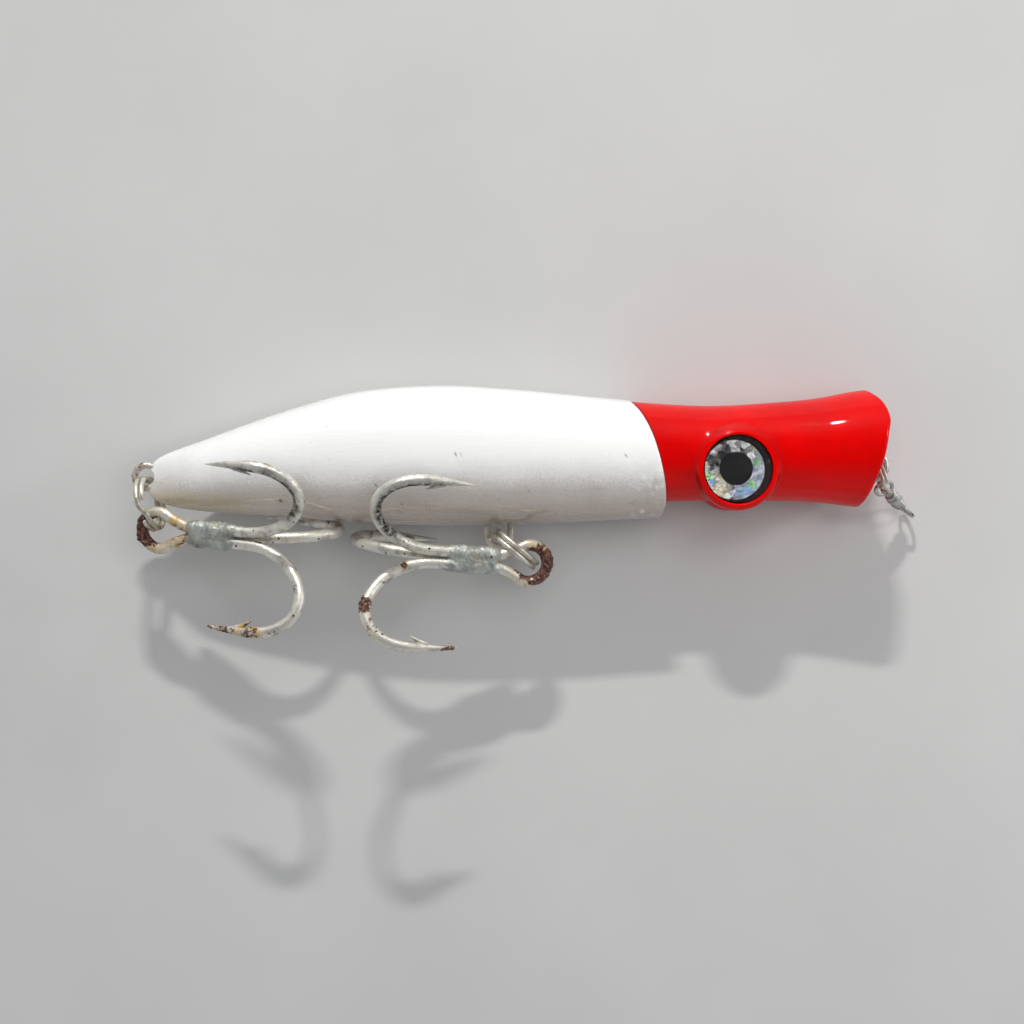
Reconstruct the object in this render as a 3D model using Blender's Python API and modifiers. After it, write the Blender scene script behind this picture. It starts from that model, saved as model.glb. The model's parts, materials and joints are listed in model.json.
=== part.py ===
"""Topwater popper with a through-wire, split rings, a barrel swivel and two treble hooks.

Lure axes, in millimetres: x runs from the tail tip to the mouth, y from the belly to the back, and z from
the mid-plane to the right flank. The lure lies on its left flank, so the world's Z is the lure's z, and the
empty named lure_axes lifts it until that flank touches the floor.
"""

from math import cos, pi, radians, sin

import bmesh
import bpy
from mathutils import Matrix, Vector

MM = 0.001

# Where the lure's own origin stands in the world
TAIL_TIP_X = -69.0
WIRE_AXIS_Y = 6.9
FLANK_TO_MID_PLANE = 11.05

# Body and head outlines: (x, back, belly, half-width), an ellipse at each
BODY_ROWS = (
    (0.0, 0.8, -2.4, 0.6),
    (0.5, 2.2, -3.4, 0.7),
    (2.0, 3.7, -4.4, 1.35),
    (5.6, 5.3, -5.5, 3.3),
    (9.3, 6.6, -6.0, 5.3),
    (16.6, 9.3, -6.6, 7.0),
    (27.0, 12.8, -7.2, 8.9),
    (38.4, 15.7, -8.2, 10.3),
    (53.0, 16.8, -8.7, 11.0),
    (67.5, 16.0, -8.4, 10.9),
    (82.1, 14.6, -7.8, 10.4),
    (97.0, 13.3, -7.0, 9.8),
)
HEAD_ROWS = (
    (85.0, 14.1, -4.7, 9.6),
    (94.0, 13.4, -4.3, 9.3),
    (103.0, 13.1, -4.2, 9.2),
    (114.9, 13.8, -4.2, 9.5),
    (121.6, 14.5, -4.5, 10.0),
    (128.7, 15.8, -5.3, 10.6),
    (137.0, 16.4, -5.7, 10.9),
)
GILL_LINE = (
    (85.0, 16.5), (87.2, 14.0), (89.0, 11.6), (90.6, 8.2), (91.8, 4.3), (92.6, 0.8), (93.1, -2.4), (93.2, -5.2),
    (92.7, -7.2), (91.6, -9.5),
)
MOUTH_RIM = (
    (129.0, 18.5), (130.6, 16.0), (132.5, 13.9), (133.4, 11.0), (133.1, 8.5), (132.2, 3.5), (131.0, -0.6), (129.7, -4.3),
    (128.2, -7.5),
)

# Outlines that the gill and mouth lines cut are closed far outside the lure
CLEAR_BELOW, CLEAR_ABOVE, CLEAR_BEHIND, CLEAR_AHEAD, CLEAR_SIDE = -12.0, 22.0, 60.0, 150.0, 20.0

# Shell halves
PARTING_GAP = 0.1
FIT_GAP = 0.3
WALL = 1.6
HALF_SIDES = 12
STEPS_PER_ROW = 2
STEPS_PER_CORNER = 2
RIB_X = (28.0, 49.0, 73.5)
RIB_THICKNESS = 1.4
CAVITY_START = 8.0
CAVITY_END = 80.0
SPIGOT_START, SPIGOT_END = 82.0, 97.0
SPIGOT_INSET = 1.7
POCKET_END = 100.0
POCKET_INSET = 1.4
HEAD_CAVITY = ((81.0, 9.0, -1.2, 5.0), (90.0, 10.5, -1.5, 5.2), (112.0, 10.5, -1.5, 5.2), (121.0, 8.0, -0.5, 4.0))

# Mouth cup: a tilted ellipsoid hollowed out of the head
CUP_CENTRE = (133.6, 5.4)
CUP_DEPTH, CUP_HALF_HEIGHT, CUP_HALF_WIDTH = 7.4, 9.2, 9.6
CUP_TILT = radians(12)

# Eyes
EYE_X, EYE_Y = 106.35, 1.45
BOSS_RADIUS, BOSS_TOP, BOSS_FOOT = 7.35, 9.5, 3.0
SOCKET_RADIUS, SOCKET_FLOOR = 6.2, 8.2
FOIL_X, FOIL_Y, FOIL_RADIUS, FOIL_THICKNESS = 105.9, 1.3, 5.4, 0.25
FOIL_BED, DOME_BED = 0.2, 0.15
DOME_RADIUS, DOME_EDGE, DOME_HEIGHT = 5.95, 0.35, 1.3
DOME_STEPS = 5

# Through-wire: tail loop, belly loop and nose loop bent in one wire
WIRE_RADIUS = 0.6
CHANNEL_RADIUS = 0.9
TAIL_LOOP_CENTRE, TAIL_LOOP_RADIUS = (-0.4, 0.2), 2.1
NOSE_LOOP_CENTRE, NOSE_LOOP_RADIUS = (131.8, 2.1), 2.4
BELLY_LOOP_CENTRE, BELLY_LOOP_RADIUS = (63.7, -10.35), 2.15
CORNER_RADIUS = 1.6
TAIL_LOOP_ANGLES, NOSE_LOOP_ANGLES = (35, 318), (222, 505)
LOOP_STEPS, BELLY_LOOP_STEPS, CORNER_STEPS = 14, 9, 4
TAIL_NECK, NOSE_NECK = ((4.6, 0.0), (2.9, -0.35)), ((-4.9, 0.0), (-3.1, -0.4))
LEG_HOLE_ABOVE_WIRE = 2.0
CHANNEL_START, CHANNEL_END = -6.0, 136.0

# Ballast and rattle, inside the body
TAIL_BALLAST = dict(start=14.0, end=24.0, y=-2.6, radius=1.5)
BELLY_BALLAST = dict(start=36.0, end=47.5, y=-3.6, radius=2.4)
SLUG_CHAMFER = 0.4
TUBE_START, TUBE_END, TUBE_Y = 51.0, 72.0, 6.0
TUBE_RADIUS, TUBE_BORE = 3.5, 2.8
BALL_RADIUS, BALL_COUNT, BALL_SPACING = 2.6, 3, 5.35
FIRST_BALL_X = 54.2

# Split rings: two flat coils with a short crossover
HOOK_RING = dict(radius=4.7, wire=0.475, pitch=1.05, points=20)
NOSE_RING = dict(radius=2.85, wire=0.3, pitch=0.68, points=18)
CROSSOVER_START, CROSSOVER_END = radians(320), radians(355)
COIL_END = radians(670)

# Where each ring lies, and where its wire starts: angles from the first direction towards the second
BELLY_RING_CENTRE = (66.6, -12.8, 2.1)
BELLY_RING_ALONG = (0.77, -0.64, 0.0)
BELLY_RING_START = radians(-110)
TAIL_RING_CENTRE = (0.42, -4.6, 0.92)
TAIL_RING_ALONG = (0.25, -0.968, 0.0)
TAIL_RING_LEAN = radians(12)
TAIL_RING_START = radians(100)
NOSE_RING_CENTRE = (133.3, 0.15, 0.0)
NOSE_RING_ALONG = (0.32, -0.95, 0.0)
NOSE_RING_START = radians(60)
UPRIGHT = (0.0, 0.0, 1.0)

# Joint axes: the hook rings turn where they cross a loop of the wire, and the hooks where they hang on a ring
BELLY_RING_PIVOT = (65.33, -11.75, 0.0)
BELLY_HOOK_PIVOT = (70.2, -15.8, 2.1)
TAIL_RING_PIVOT = (-0.66, -0.08, 0.0)
TAIL_HOOK_PIVOT = (1.64, -9.1, 0.6)
NOSE_RING_PIVOT = (132.4, 2.85, 0.0)

# Barrel swivel, along its own axis from the nose ring to the line tie
SWIVEL_AXIS = (6.46, -5.0, -7.8)
SWIVEL_LINK_ANGLE = radians(-45)
SWIVEL_EYE_RADIUS, SWIVEL_EYE_WIRE = 1.6, 0.35
SWIVEL_EYE_ANGLES, SWIVEL_EYE_STEPS = (40, 322), 12
INNER_EYE_X, OUTER_EYE_X = 0.3, 9.3
BARREL_START, BARREL_END = 2.8, 7.0
BARREL_RADIUS, BARREL_SHOULDER, BARREL_BORE, BARREL_MOUTH = 1.1, 0.85, 0.82, 0.48
SHOULDER_LENGTH, LIP_LENGTH, BORE_INSET = 0.6, 0.5, 0.7
BEAD_RADIUS, BEAD_LENGTH = 0.64, 1.0
BEAD_FOOT, BEAD_FLARE, STEM_OUTSIDE = 0.75, 0.15, 0.1
OUTER_EYE_TURN = radians(70)

# Treble hooks
HOOK_WIRE = 1.02
SHANK_OFFSET = 1.27
HOOK_EYE_RADIUS = 3.35
HOOK_EYE_ANGLES, HOOK_EYE_STEPS = (48, 312), 14
DOUBLE_ARM_ANGLES, SINGLE_ARM_ANGLE = (30, 150), -90
SHANK_START = 5.6
EYE_SHOULDER_X, EYE_SHOULDER_SPREAD = 4.1, 0.55
SINGLE_SHANK_START = 5.0
ARM_PROFILE = (
    (14.8, SHANK_OFFSET), (20.2, 1.55), (25.4, 3.9), (28.7, 7.4), (29.9, 11.0), (28.6, 14.5), (25.2, 16.7), (20.6, 17.2),
    (13.2, 16.8),
)
ARM_STEPS = 3
POINT_LENGTH = 9.0
POINT_RADIUS = 0.12
POINT_TAPER = 0.8
BRAZE_START, BRAZE_END, BRAZE_RADIUS, BRAZE_CHANNEL = 5.9, 15.5, 2.75, 1.18
BELLY_TREBLE = dict(eye=(69.0, -15.3), heading=radians(175.8), pitch=radians(13.7), roll=radians(-9.2))
TAIL_TREBLE = dict(eye=(2.6, -9.4), heading=radians(-5.0), pitch=radians(18.5), roll=radians(12.5))
FLOOR_CLEARANCE = 0.05

LURE = "topwater_popper"
CUTTERS = "cutters"


# Scene and placing

def clear_scene():
    for obj in list(bpy.data.objects):
        bpy.data.objects.remove(obj, do_unlink=True)


def collection(name):
    made = bpy.data.collections.new(name)
    bpy.context.scene.collection.children.link(made)
    return made


def material(name, colour, roughness, metallic, transmission=0.0):
    made = bpy.data.materials.new(name)
    made.use_nodes = True
    shader = made.node_tree.nodes["Principled BSDF"]
    shader.inputs["Base Color"].default_value = (*colour, 1.0)
    shader.inputs["Roughness"].default_value = roughness
    shader.inputs["Metallic"].default_value = metallic
    shader.inputs["Transmission Weight"].default_value = transmission
    made.diffuse_color = (*colour, 1.0)
    return made


def metres(point):
    return Vector(point) * MM


def frame(origin, x_axis=(1, 0, 0), z_axis=(0, 0, 1)):
    """A placement in lure axes, from its origin in millimetres, its x axis and roughly its z axis."""
    x = Vector(x_axis).normalized()
    z = Vector(z_axis)
    z = (z - x * z.dot(x)).normalized()
    y = z.cross(x)
    turn = Matrix((x, y, z)).transposed().to_4x4()
    return Matrix.Translation(metres(origin)) @ turn


def pivot(name, parent, origin):
    """An empty on a joint's axis. Its place is kept in lure axes as well, for its children."""
    empty = bpy.data.objects.new(name, None)
    empty.empty_display_size = 2 * MM
    bpy.data.collections[LURE].objects.link(empty)
    return place(empty, parent, frame(origin))


def place(obj, parent, where):
    """Puts an object at a placement given in lure axes, under a parent that was placed the same way."""
    obj["in_lure"] = [value for row in where for value in row]
    obj.parent = parent
    obj.matrix_basis = in_lure(parent).inverted() @ where if parent else where
    return obj


def in_lure(obj):
    if obj.name == "lure_axes":
        return Matrix.Identity(4)
    values = list(obj["in_lure"])
    return Matrix([values[row * 4:row * 4 + 4] for row in range(4)])


def finished(name, mesh, finish, parent, where=None, group=LURE):
    obj = bpy.data.objects.new(name, mesh)
    bpy.data.collections[group].objects.link(obj)
    mesh.materials.append(finish)
    mesh.shade_smooth()
    mesh.set_sharp_from_angle(angle=radians(35))
    return place(obj, parent, where or Matrix.Identity(4))


# Shapes

def smooth_run(points, steps):
    """A Catmull-Rom curve through the points or rows, as tuples, with that many steps to each span."""
    run = [Vector(p) for p in points]
    ends = [2 * run[0] - run[1], *run, 2 * run[-1] - run[-2]]
    curve = []
    for before, start, end, after in zip(ends, ends[1:], ends[2:], ends[3:]):
        for step in range(steps):
            t = step / steps
            curve.append(
                start
                + (end - before) * (t / 2)
                + (2 * before - 5 * start + 4 * end - after) * (t * t / 2)
                + (3 * start - before - 3 * end + after) * (t ** 3 / 2)
            )
    return [tuple(point) for point in (*curve, run[-1])]


def bmesh_to_mesh(name, shape):
    bmesh.ops.recalc_face_normals(shape, faces=shape.faces)
    mesh = bpy.data.meshes.new(name)
    shape.to_mesh(mesh)
    shape.free()
    return mesh


def loft(name, rings):
    """A closed solid through rings of the same number of points, in millimetres."""
    shape = bmesh.new()
    made = [[shape.verts.new(metres(p)) for p in ring] for ring in rings]
    for ring, following in zip(made, made[1:]):
        for i in range(len(ring)):
            j = (i + 1) % len(ring)
            shape.faces.new((ring[i], ring[j], following[j], following[i]))
    shape.faces.new(made[0])
    shape.faces.new(made[-1])
    return bmesh_to_mesh(name, shape)


def half_ring(row, side):
    """Half of an ellipse on one side of the parting plane, closed by the flat parting face."""
    x, back, belly, half_width = row
    middle, half_height = (back + belly) / 2, (back - belly) / 2
    ring = []
    for i in range(HALF_SIDES + 1):
        angle = pi * i / HALF_SIDES
        ring.append((x, middle + half_height * cos(angle), side * max(half_width * sin(angle), PARTING_GAP / 2)))
    return ring


def full_ring(row):
    x, back, belly, half_width = row
    middle, half_height = (back + belly) / 2, (back - belly) / 2
    angles = [pi * i / HALF_SIDES for i in range(2 * HALF_SIDES)]
    return [(x, middle + half_height * cos(a), half_width * sin(a)) for a in angles]


def row_at(rows, x):
    """The row at any x, read from the smooth rows by linear steps."""
    for before, after in zip(rows, rows[1:]):
        if before[0] <= x <= after[0]:
            t = (x - before[0]) / (after[0] - before[0])
            return tuple(a + (b - a) * t for a, b in zip(before, after))
    return rows[0] if x < rows[0][0] else rows[-1]


def inset_rows(rows, start, end, inset):
    """The rows between two stations, moved inwards by the inset."""
    inside = [r for r in rows if start < r[0] < end]
    kept = [row_at(rows, start), *inside, row_at(rows, end)]
    return [(x, back - inset, belly + inset, half_width - inset) for x, back, belly, half_width in kept]


def prism(name, outline, half_thickness):
    """A flat outline in the x-y plane, thickened both ways along z."""
    shape = bmesh.new()
    low = [shape.verts.new(metres((x, y, -half_thickness))) for x, y in outline]
    face = shape.faces.new(low)
    moved = bmesh.ops.extrude_face_region(shape, geom=[face])["geom"]
    top = [v for v in moved if isinstance(v, bmesh.types.BMVert)]
    bmesh.ops.translate(shape, verts=top, vec=(0, 0, 2 * half_thickness * MM))
    return bmesh_to_mesh(name, shape)


def cylinder(name, start, end, radius, sides=16):
    """A plain cylinder between two points."""
    start, end = Vector(start), Vector(end)
    shape = bmesh.new()
    bmesh.ops.create_cone(
        shape, cap_ends=True, segments=sides, radius1=radius * MM, radius2=radius * MM,
        depth=(end - start).length * MM,
    )
    turn = Vector((0, 0, 1)).rotation_difference(end - start).to_matrix().to_4x4()
    bmesh.ops.transform(shape, matrix=Matrix.Translation(metres((start + end) / 2)) @ turn, verts=shape.verts)
    return bmesh_to_mesh(name, shape)


def turned_part(name, profile, finish, parent, where, closed=False, steps=24):
    """A profile of (radius, height) turned about z; the profile runs from the top to the bottom."""
    shape = bmesh.new()
    verts = [shape.verts.new(metres((radius, 0, height))) for radius, height in profile]
    for a, b in zip(verts, verts[1:]):
        shape.edges.new((a, b))
    if closed:
        shape.edges.new((verts[-1], verts[0]))
    mesh = bpy.data.meshes.new(name)
    shape.to_mesh(mesh)
    shape.free()
    obj = finished(name, mesh, finish, parent, where)
    screw = obj.modifiers.new("turn", "SCREW")
    screw.steps = screw.render_steps = steps
    screw.use_merge_vertices = True
    screw.merge_threshold = 0.00001
    screw.use_smooth_shade = True
    return obj


def wire_part(name, points, radii, finish, parent, where=None):
    """A round wire along the points, with a radius at each."""
    curve = bpy.data.curves.new(name, "CURVE")
    curve.dimensions = "3D"
    curve.bevel_depth = MM
    curve.bevel_resolution = 2
    curve.use_fill_caps = True
    spline = curve.splines.new("POLY")
    spline.points.add(len(points) - 1)
    for point, at, radius in zip(spline.points, points, radii):
        point.co = (*metres(at), 1.0)
        point.radius = radius
    curve.materials.append(finish)
    obj = bpy.data.objects.new(name, curve)
    bpy.data.collections[LURE].objects.link(obj)
    return place(obj, parent, where or Matrix.Identity(4))


def cutter(name, mesh, parent, where=None):
    obj = bpy.data.objects.new(name, mesh)
    bpy.data.collections[CUTTERS].objects.link(obj)
    obj.hide_render = True
    obj.display_type = "WIRE"
    return place(obj, parent, where or Matrix.Identity(4))


def combine(obj, other, operation="DIFFERENCE"):
    boolean = obj.modifiers.new(other.name, "BOOLEAN")
    boolean.operation = operation
    boolean.object = other
    boolean.solver = "EXACT"


# Shells

def outline_past(line, far_x, shift=0.0):
    """Everything on the far side of a line that crosses the lure, moved forward by the shift."""
    run = [(x + shift, y) for x, y in smooth_run(line, STEPS_PER_CORNER)]
    return [*run, (far_x, CLEAR_BELOW), (far_x, CLEAR_ABOVE)]


def wire_line_y(x):
    """Height of the through-wire's straight run."""
    (tail_x, tail_y), (nose_x, nose_y) = TAIL_LOOP_CENTRE, NOSE_LOOP_CENTRE
    return tail_y + (nose_y - tail_y) * (x - tail_x) / (nose_x - tail_x)


def shell_cutters(lure):
    """The hollows that both halves share."""
    body = smooth_run(BODY_ROWS, STEPS_PER_ROW)
    head = smooth_run(HEAD_ROWS, STEPS_PER_ROW)
    made = {}
    starts = [CAVITY_START, *(x + RIB_THICKNESS / 2 for x in RIB_X)]
    ends = [*(x - RIB_THICKNESS / 2 for x in RIB_X), CAVITY_END]
    for i, (start, end) in enumerate(zip(starts, ends), 1):
        rings = [full_ring(row) for row in inset_rows(body, start, end, WALL)]
        made[f"cavity_{i}"] = loft(f"cavity_{i}", rings)
    pocket = inset_rows(head, head[0][0], POCKET_END, POCKET_INSET)
    behind = (CAVITY_END - 1.0, *pocket[0][1:])
    made["pocket"] = loft("pocket", [full_ring(row) for row in (behind, *pocket)])
    made["head_cavity"] = loft("head_cavity", [full_ring(row) for row in smooth_run(HEAD_CAVITY, STEPS_PER_ROW)])
    wire_ends = [(x, wire_line_y(x), 0) for x in (CHANNEL_START, CHANNEL_END)]
    made["wire_channel"] = cylinder("wire_channel", *wire_ends, CHANNEL_RADIUS)
    for name, sign in (("rear", -1), ("front", 1)):
        x = BELLY_LOOP_CENTRE[0] + sign * BELLY_LOOP_RADIUS
        made[f"leg_hole_{name}"] = cylinder(
            f"leg_hole_{name}", (x, wire_line_y(x) + LEG_HOLE_ABOVE_WIRE, 0), (x, CLEAR_BELOW, 0), CHANNEL_RADIUS
        )
    x, y = TAIL_LOOP_CENTRE
    slot_radius = TAIL_LOOP_RADIUS + WIRE_RADIUS + 3 * FIT_GAP
    made["tail_slot"] = cylinder("tail_slot", (x, y, -CHANNEL_RADIUS), (x, y, CHANNEL_RADIUS), slot_radius, 24)
    made["ahead_of_gill"] = prism("ahead_of_gill", outline_past(GILL_LINE, CLEAR_AHEAD), CLEAR_SIDE)
    made["behind_gill"] = prism("behind_gill", outline_past(GILL_LINE, CLEAR_BEHIND, FIT_GAP), CLEAR_SIDE)
    made["ahead_of_mouth"] = prism("ahead_of_mouth", outline_past(MOUTH_RIM, CLEAR_AHEAD), CLEAR_SIDE)
    made["mouth_cup"] = cup("mouth_cup")
    return {name: cutter(name, mesh, lure) for name, mesh in made.items()}


def cup(name):
    """The tilted ellipsoid that hollows out the mouth."""
    shape = bmesh.new()
    bmesh.ops.create_uvsphere(shape, u_segments=24, v_segments=14, radius=MM)
    size = Matrix.Diagonal((CUP_DEPTH, CUP_HALF_HEIGHT, CUP_HALF_WIDTH, 1.0))
    turn = Matrix.Rotation(CUP_TILT, 4, "Z")
    bmesh.ops.transform(shape, matrix=Matrix.Translation(metres((*CUP_CENTRE, 0))) @ turn @ size, verts=shape.verts)
    return bmesh_to_mesh(name, shape)


def body_shell(name, side, lure, cutters, finish):
    rows = smooth_run(BODY_ROWS, STEPS_PER_ROW)
    shell = finished(name, loft(name, [half_ring(row, side) for row in rows]), finish, lure)
    names = ["ahead_of_gill", "pocket", "wire_channel", "leg_hole_rear", "leg_hole_front", "tail_slot"]
    names += [f"cavity_{i}" for i in range(1, len(RIB_X) + 2)]
    for key in names:
        combine(shell, cutters[key])
    return shell


def head_shell(name, side, lure, cutters, finish):
    rows = smooth_run(HEAD_ROWS, STEPS_PER_ROW)
    shell = finished(name, loft(name, [half_ring(row, side) for row in rows]), finish, lure)
    combine(shell, cutters["behind_gill"])
    inside = inset_rows(rows, rows[0][0], SPIGOT_END, SPIGOT_INSET)
    foot = (SPIGOT_START, *inside[0][1:])
    spigot = cutter(f"{name}_spigot", loft(name, [half_ring(row, side) for row in (foot, *inside)]), lure)
    combine(shell, spigot, "UNION")
    boss = cylinder(name, (EYE_X, EYE_Y, side * BOSS_FOOT), (EYE_X, EYE_Y, side * BOSS_TOP), BOSS_RADIUS, 36)
    combine(shell, cutter(f"{name}_eye_boss", boss, lure), "UNION")
    socket = cylinder(
        name, (EYE_X, EYE_Y, side * SOCKET_FLOOR), (EYE_X, EYE_Y, side * (BOSS_TOP + 2)), SOCKET_RADIUS, 36
    )
    combine(shell, cutter(f"{name}_eye_socket", socket, lure))
    for key in ("ahead_of_mouth", "mouth_cup", "head_cavity", "wire_channel"):
        combine(shell, cutters[key])
    return shell


def eye(side_name, side, lure, foil_finish, dome_finish):
    """The foil disc on its socket's floor, and the clear dome over it."""
    foil_foot = SOCKET_FLOOR + FOIL_BED
    foil_top = foil_foot + FOIL_THICKNESS
    foil = cylinder(
        f"eye_foil_{side_name}", (FOIL_X, FOIL_Y, side * foil_foot), (FOIL_X, FOIL_Y, side * foil_top), FOIL_RADIUS, 32
    )
    finished(f"eye_foil_{side_name}", foil, foil_finish, lure)
    angles = [pi / 2 * i / DOME_STEPS for i in range(DOME_STEPS + 1)]
    crown = [(DOME_RADIUS * sin(a), DOME_EDGE + DOME_HEIGHT * cos(a)) for a in angles]
    profile = [*crown, (DOME_RADIUS, 0.0), (0.0, 0.0)]
    foot = (EYE_X, EYE_Y, side * (foil_top + DOME_BED))
    turned_part(f"eye_dome_{side_name}", profile, dome_finish, lure, frame(foot, z_axis=(0, 0, side)), steps=28)


# Wire and things inside

def arc(centre, radius, ends, steps):
    """Points of an arc in the x-y plane, between two angles in degrees."""
    start, end = ends
    angles = [radians(start + (end - start) * i / steps) for i in range(steps + 1)]
    return [(centre[0] + radius * cos(a), centre[1] + radius * sin(a), 0.0) for a in angles]


def through_wire_points():
    """From the tail loop's cut end, along the body, down round the belly loop and on to the nose loop."""
    tail = arc(TAIL_LOOP_CENTRE, TAIL_LOOP_RADIUS, TAIL_LOOP_ANGLES, LOOP_STEPS)
    nose = arc(NOSE_LOOP_CENTRE, NOSE_LOOP_RADIUS, NOSE_LOOP_ANGLES, LOOP_STEPS)
    x, y = BELLY_LOOP_CENTRE
    rear, front = x - BELLY_LOOP_RADIUS, x + BELLY_LOOP_RADIUS
    rear_corner = (rear - CORNER_RADIUS, wire_line_y(rear) - CORNER_RADIUS)
    front_corner = (front + CORNER_RADIUS, wire_line_y(front) - CORNER_RADIUS)
    belly = [
        *arc(rear_corner, CORNER_RADIUS, (90, 0), CORNER_STEPS),
        *arc((x, y), BELLY_LOOP_RADIUS, (180, 360), BELLY_LOOP_STEPS),
        *arc(front_corner, CORNER_RADIUS, (180, 90), CORNER_STEPS),
    ]
    tail_neck = [(TAIL_LOOP_CENTRE[0] + dx, wire_line_y(TAIL_LOOP_CENTRE[0] + dx) + dy, 0.0) for dx, dy in TAIL_NECK]
    nose_neck = [(NOSE_LOOP_CENTRE[0] + dx, wire_line_y(NOSE_LOOP_CENTRE[0] + dx) + dy, 0.0) for dx, dy in NOSE_NECK]
    return [*tail, *reversed(tail_neck), *belly, *nose_neck, *nose]


def slug(name, start, end, y, radius, lure, finish):
    """A round ballast slug with chamfered ends, lying along x."""
    length = end - start
    profile = [
        (0.0, length), (radius - SLUG_CHAMFER, length), (radius, length - SLUG_CHAMFER),
        (radius, SLUG_CHAMFER), (radius - SLUG_CHAMFER, 0.0), (0.0, 0.0),
    ]
    where = frame((start, y, 0), x_axis=(0, 1, 0), z_axis=(1, 0, 0))
    turned_part(name, profile, finish, lure, where, steps=18)


def rattle(lure, finishes):
    length = TUBE_END - TUBE_START
    profile = [(TUBE_RADIUS, length), (TUBE_RADIUS, 0.0), (TUBE_BORE, 0.0), (TUBE_BORE, length)]
    where = frame((TUBE_START, TUBE_Y, 0), x_axis=(0, 1, 0), z_axis=(1, 0, 0))
    turned_part("rattle_tube", profile, finishes["brass"], lure, where, closed=True, steps=24)
    for i in range(BALL_COUNT):
        x = FIRST_BALL_X + i * BALL_SPACING
        slide = pivot(f"rattle_slide_{i + 1}", lure, (x, TUBE_Y, 0))
        shape = bmesh.new()
        bmesh.ops.create_uvsphere(shape, u_segments=14, v_segments=8, radius=BALL_RADIUS * MM)
        name = f"rattle_ball_{i + 1}"
        finished(name, bmesh_to_mesh(name, shape), finishes["steel"], slide, frame((x, TUBE_Y, 0)))


# Rings and swivel

def split_ring_points(radius, pitch, points):
    """Two flat coils a pitch apart about z, joined by the crossover; the wire stops short of it again."""
    made = []
    count = round(points * COIL_END / (2 * pi))
    for i in range(count + 1):
        angle = COIL_END * i / count
        climb = min(max((angle - CROSSOVER_START) / (CROSSOVER_END - CROSSOVER_START), 0.0), 1.0)
        climb = climb * climb * (3 - 2 * climb)
        made.append((radius * cos(angle), radius * sin(angle), pitch * (climb - 0.5)))
    return made


def split_ring(name, size, where, parent, finish):
    points = split_ring_points(size["radius"], size["pitch"], size["points"])
    return wire_part(name, points, [size["wire"]] * len(points), finish, parent, where)


def ring_frame(centre, along, up, start_angle):
    """A split ring's placement: both directions lie in its plane, and its wire starts at the given angle."""
    along, up = Vector(along).normalized(), Vector(up)
    up = (up - along * up.dot(along)).normalized()
    start = along * cos(start_angle) + up * sin(start_angle)
    return frame(centre, x_axis=start, z_axis=along.cross(up))


def tail_ring_up():
    """The in-plane direction of the tail ring that leans back from the vertical."""
    along, up = Vector(TAIL_RING_ALONG).normalized(), Vector(UPRIGHT)
    return up * cos(TAIL_RING_LEAN) - up.cross(along) * sin(TAIL_RING_LEAN)


def swivel_eye_points(eye_x, inward):
    """An open eye, then its stem into the barrel; inward is the direction along x to the barrel."""
    barrel_face = BARREL_START if inward > 0 else BARREL_END
    bead_foot = barrel_face + inward * BEAD_FOOT
    bead_start = bead_foot + inward * BEAD_FLARE
    loop = arc((0, 0), SWIVEL_EYE_RADIUS, SWIVEL_EYE_ANGLES, SWIVEL_EYE_STEPS)
    points = [(eye_x + inward * x, y, 0.0) for x, y, z in loop]
    stem = (barrel_face - inward * STEM_OUTSIDE, bead_foot, bead_start, bead_start + inward * BEAD_LENGTH)
    points += [(x, 0.0, 0.0) for x in stem]
    radii = [SWIVEL_EYE_WIRE] * (len(loop) + 2) + [BEAD_RADIUS] * 2
    return points, radii


def swivel(lure_pivots, finishes):
    """Inner eye on the nose ring, barrel, and the outer eye that the line is tied to."""
    link = nose_link_point()
    where = frame(link, x_axis=SWIVEL_AXIS, z_axis=nose_link_tangent())
    inner, inner_radii = swivel_eye_points(INNER_EYE_X, 1)
    wire_part("swivel_inner_eye", inner, inner_radii, finishes["dull_steel"], lure_pivots["swivel"], where)
    length = BARREL_END - BARREL_START
    profile = [
        (BARREL_MOUTH, length), (BARREL_SHOULDER, length), (BARREL_RADIUS, length - SHOULDER_LENGTH),
        (BARREL_RADIUS, SHOULDER_LENGTH), (BARREL_SHOULDER, 0.0), (BARREL_MOUTH, 0.0),
        (BARREL_MOUTH, LIP_LENGTH), (BARREL_BORE, BORE_INSET),
        (BARREL_BORE, length - BORE_INSET), (BARREL_MOUTH, length - LIP_LENGTH),
    ]
    along_x = Matrix.Translation(metres((BARREL_START, 0, 0))) @ Matrix.Rotation(radians(90), 4, "Y")
    turned_part(
        "swivel_barrel", profile, finishes["dull_steel"], lure_pivots["barrel"], where @ along_x, closed=True, steps=20
    )
    outer, outer_radii = swivel_eye_points(OUTER_EYE_X, -1)
    turn = Matrix.Rotation(OUTER_EYE_TURN, 4, "X")
    wire_part("swivel_outer_eye", outer, outer_radii, finishes["dull_steel"], lure_pivots["outer"], where @ turn)


def nose_link_point():
    """Where the swivel's inner eye hangs on the nose ring's wire."""
    along, up = Vector(NOSE_RING_ALONG).normalized(), Vector(UPRIGHT)
    outward = along * cos(SWIVEL_LINK_ANGLE) + up * sin(SWIVEL_LINK_ANGLE)
    return Vector(NOSE_RING_CENTRE) + outward * NOSE_RING["radius"]


def nose_link_tangent():
    """The direction of the nose ring's wire at that place, which the inner eye lies across."""
    along, up = Vector(NOSE_RING_ALONG).normalized(), Vector(UPRIGHT)
    return up * cos(SWIVEL_LINK_ANGLE) - along * sin(SWIVEL_LINK_ANGLE)


# Treble hooks

def arm_points(angle):
    """One arm from its shank to its point, in the hook's own axes."""
    turn = radians(angle)
    return [(x, r * cos(turn), r * sin(turn)) for x, r in smooth_run(ARM_PROFILE, ARM_STEPS)]


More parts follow.
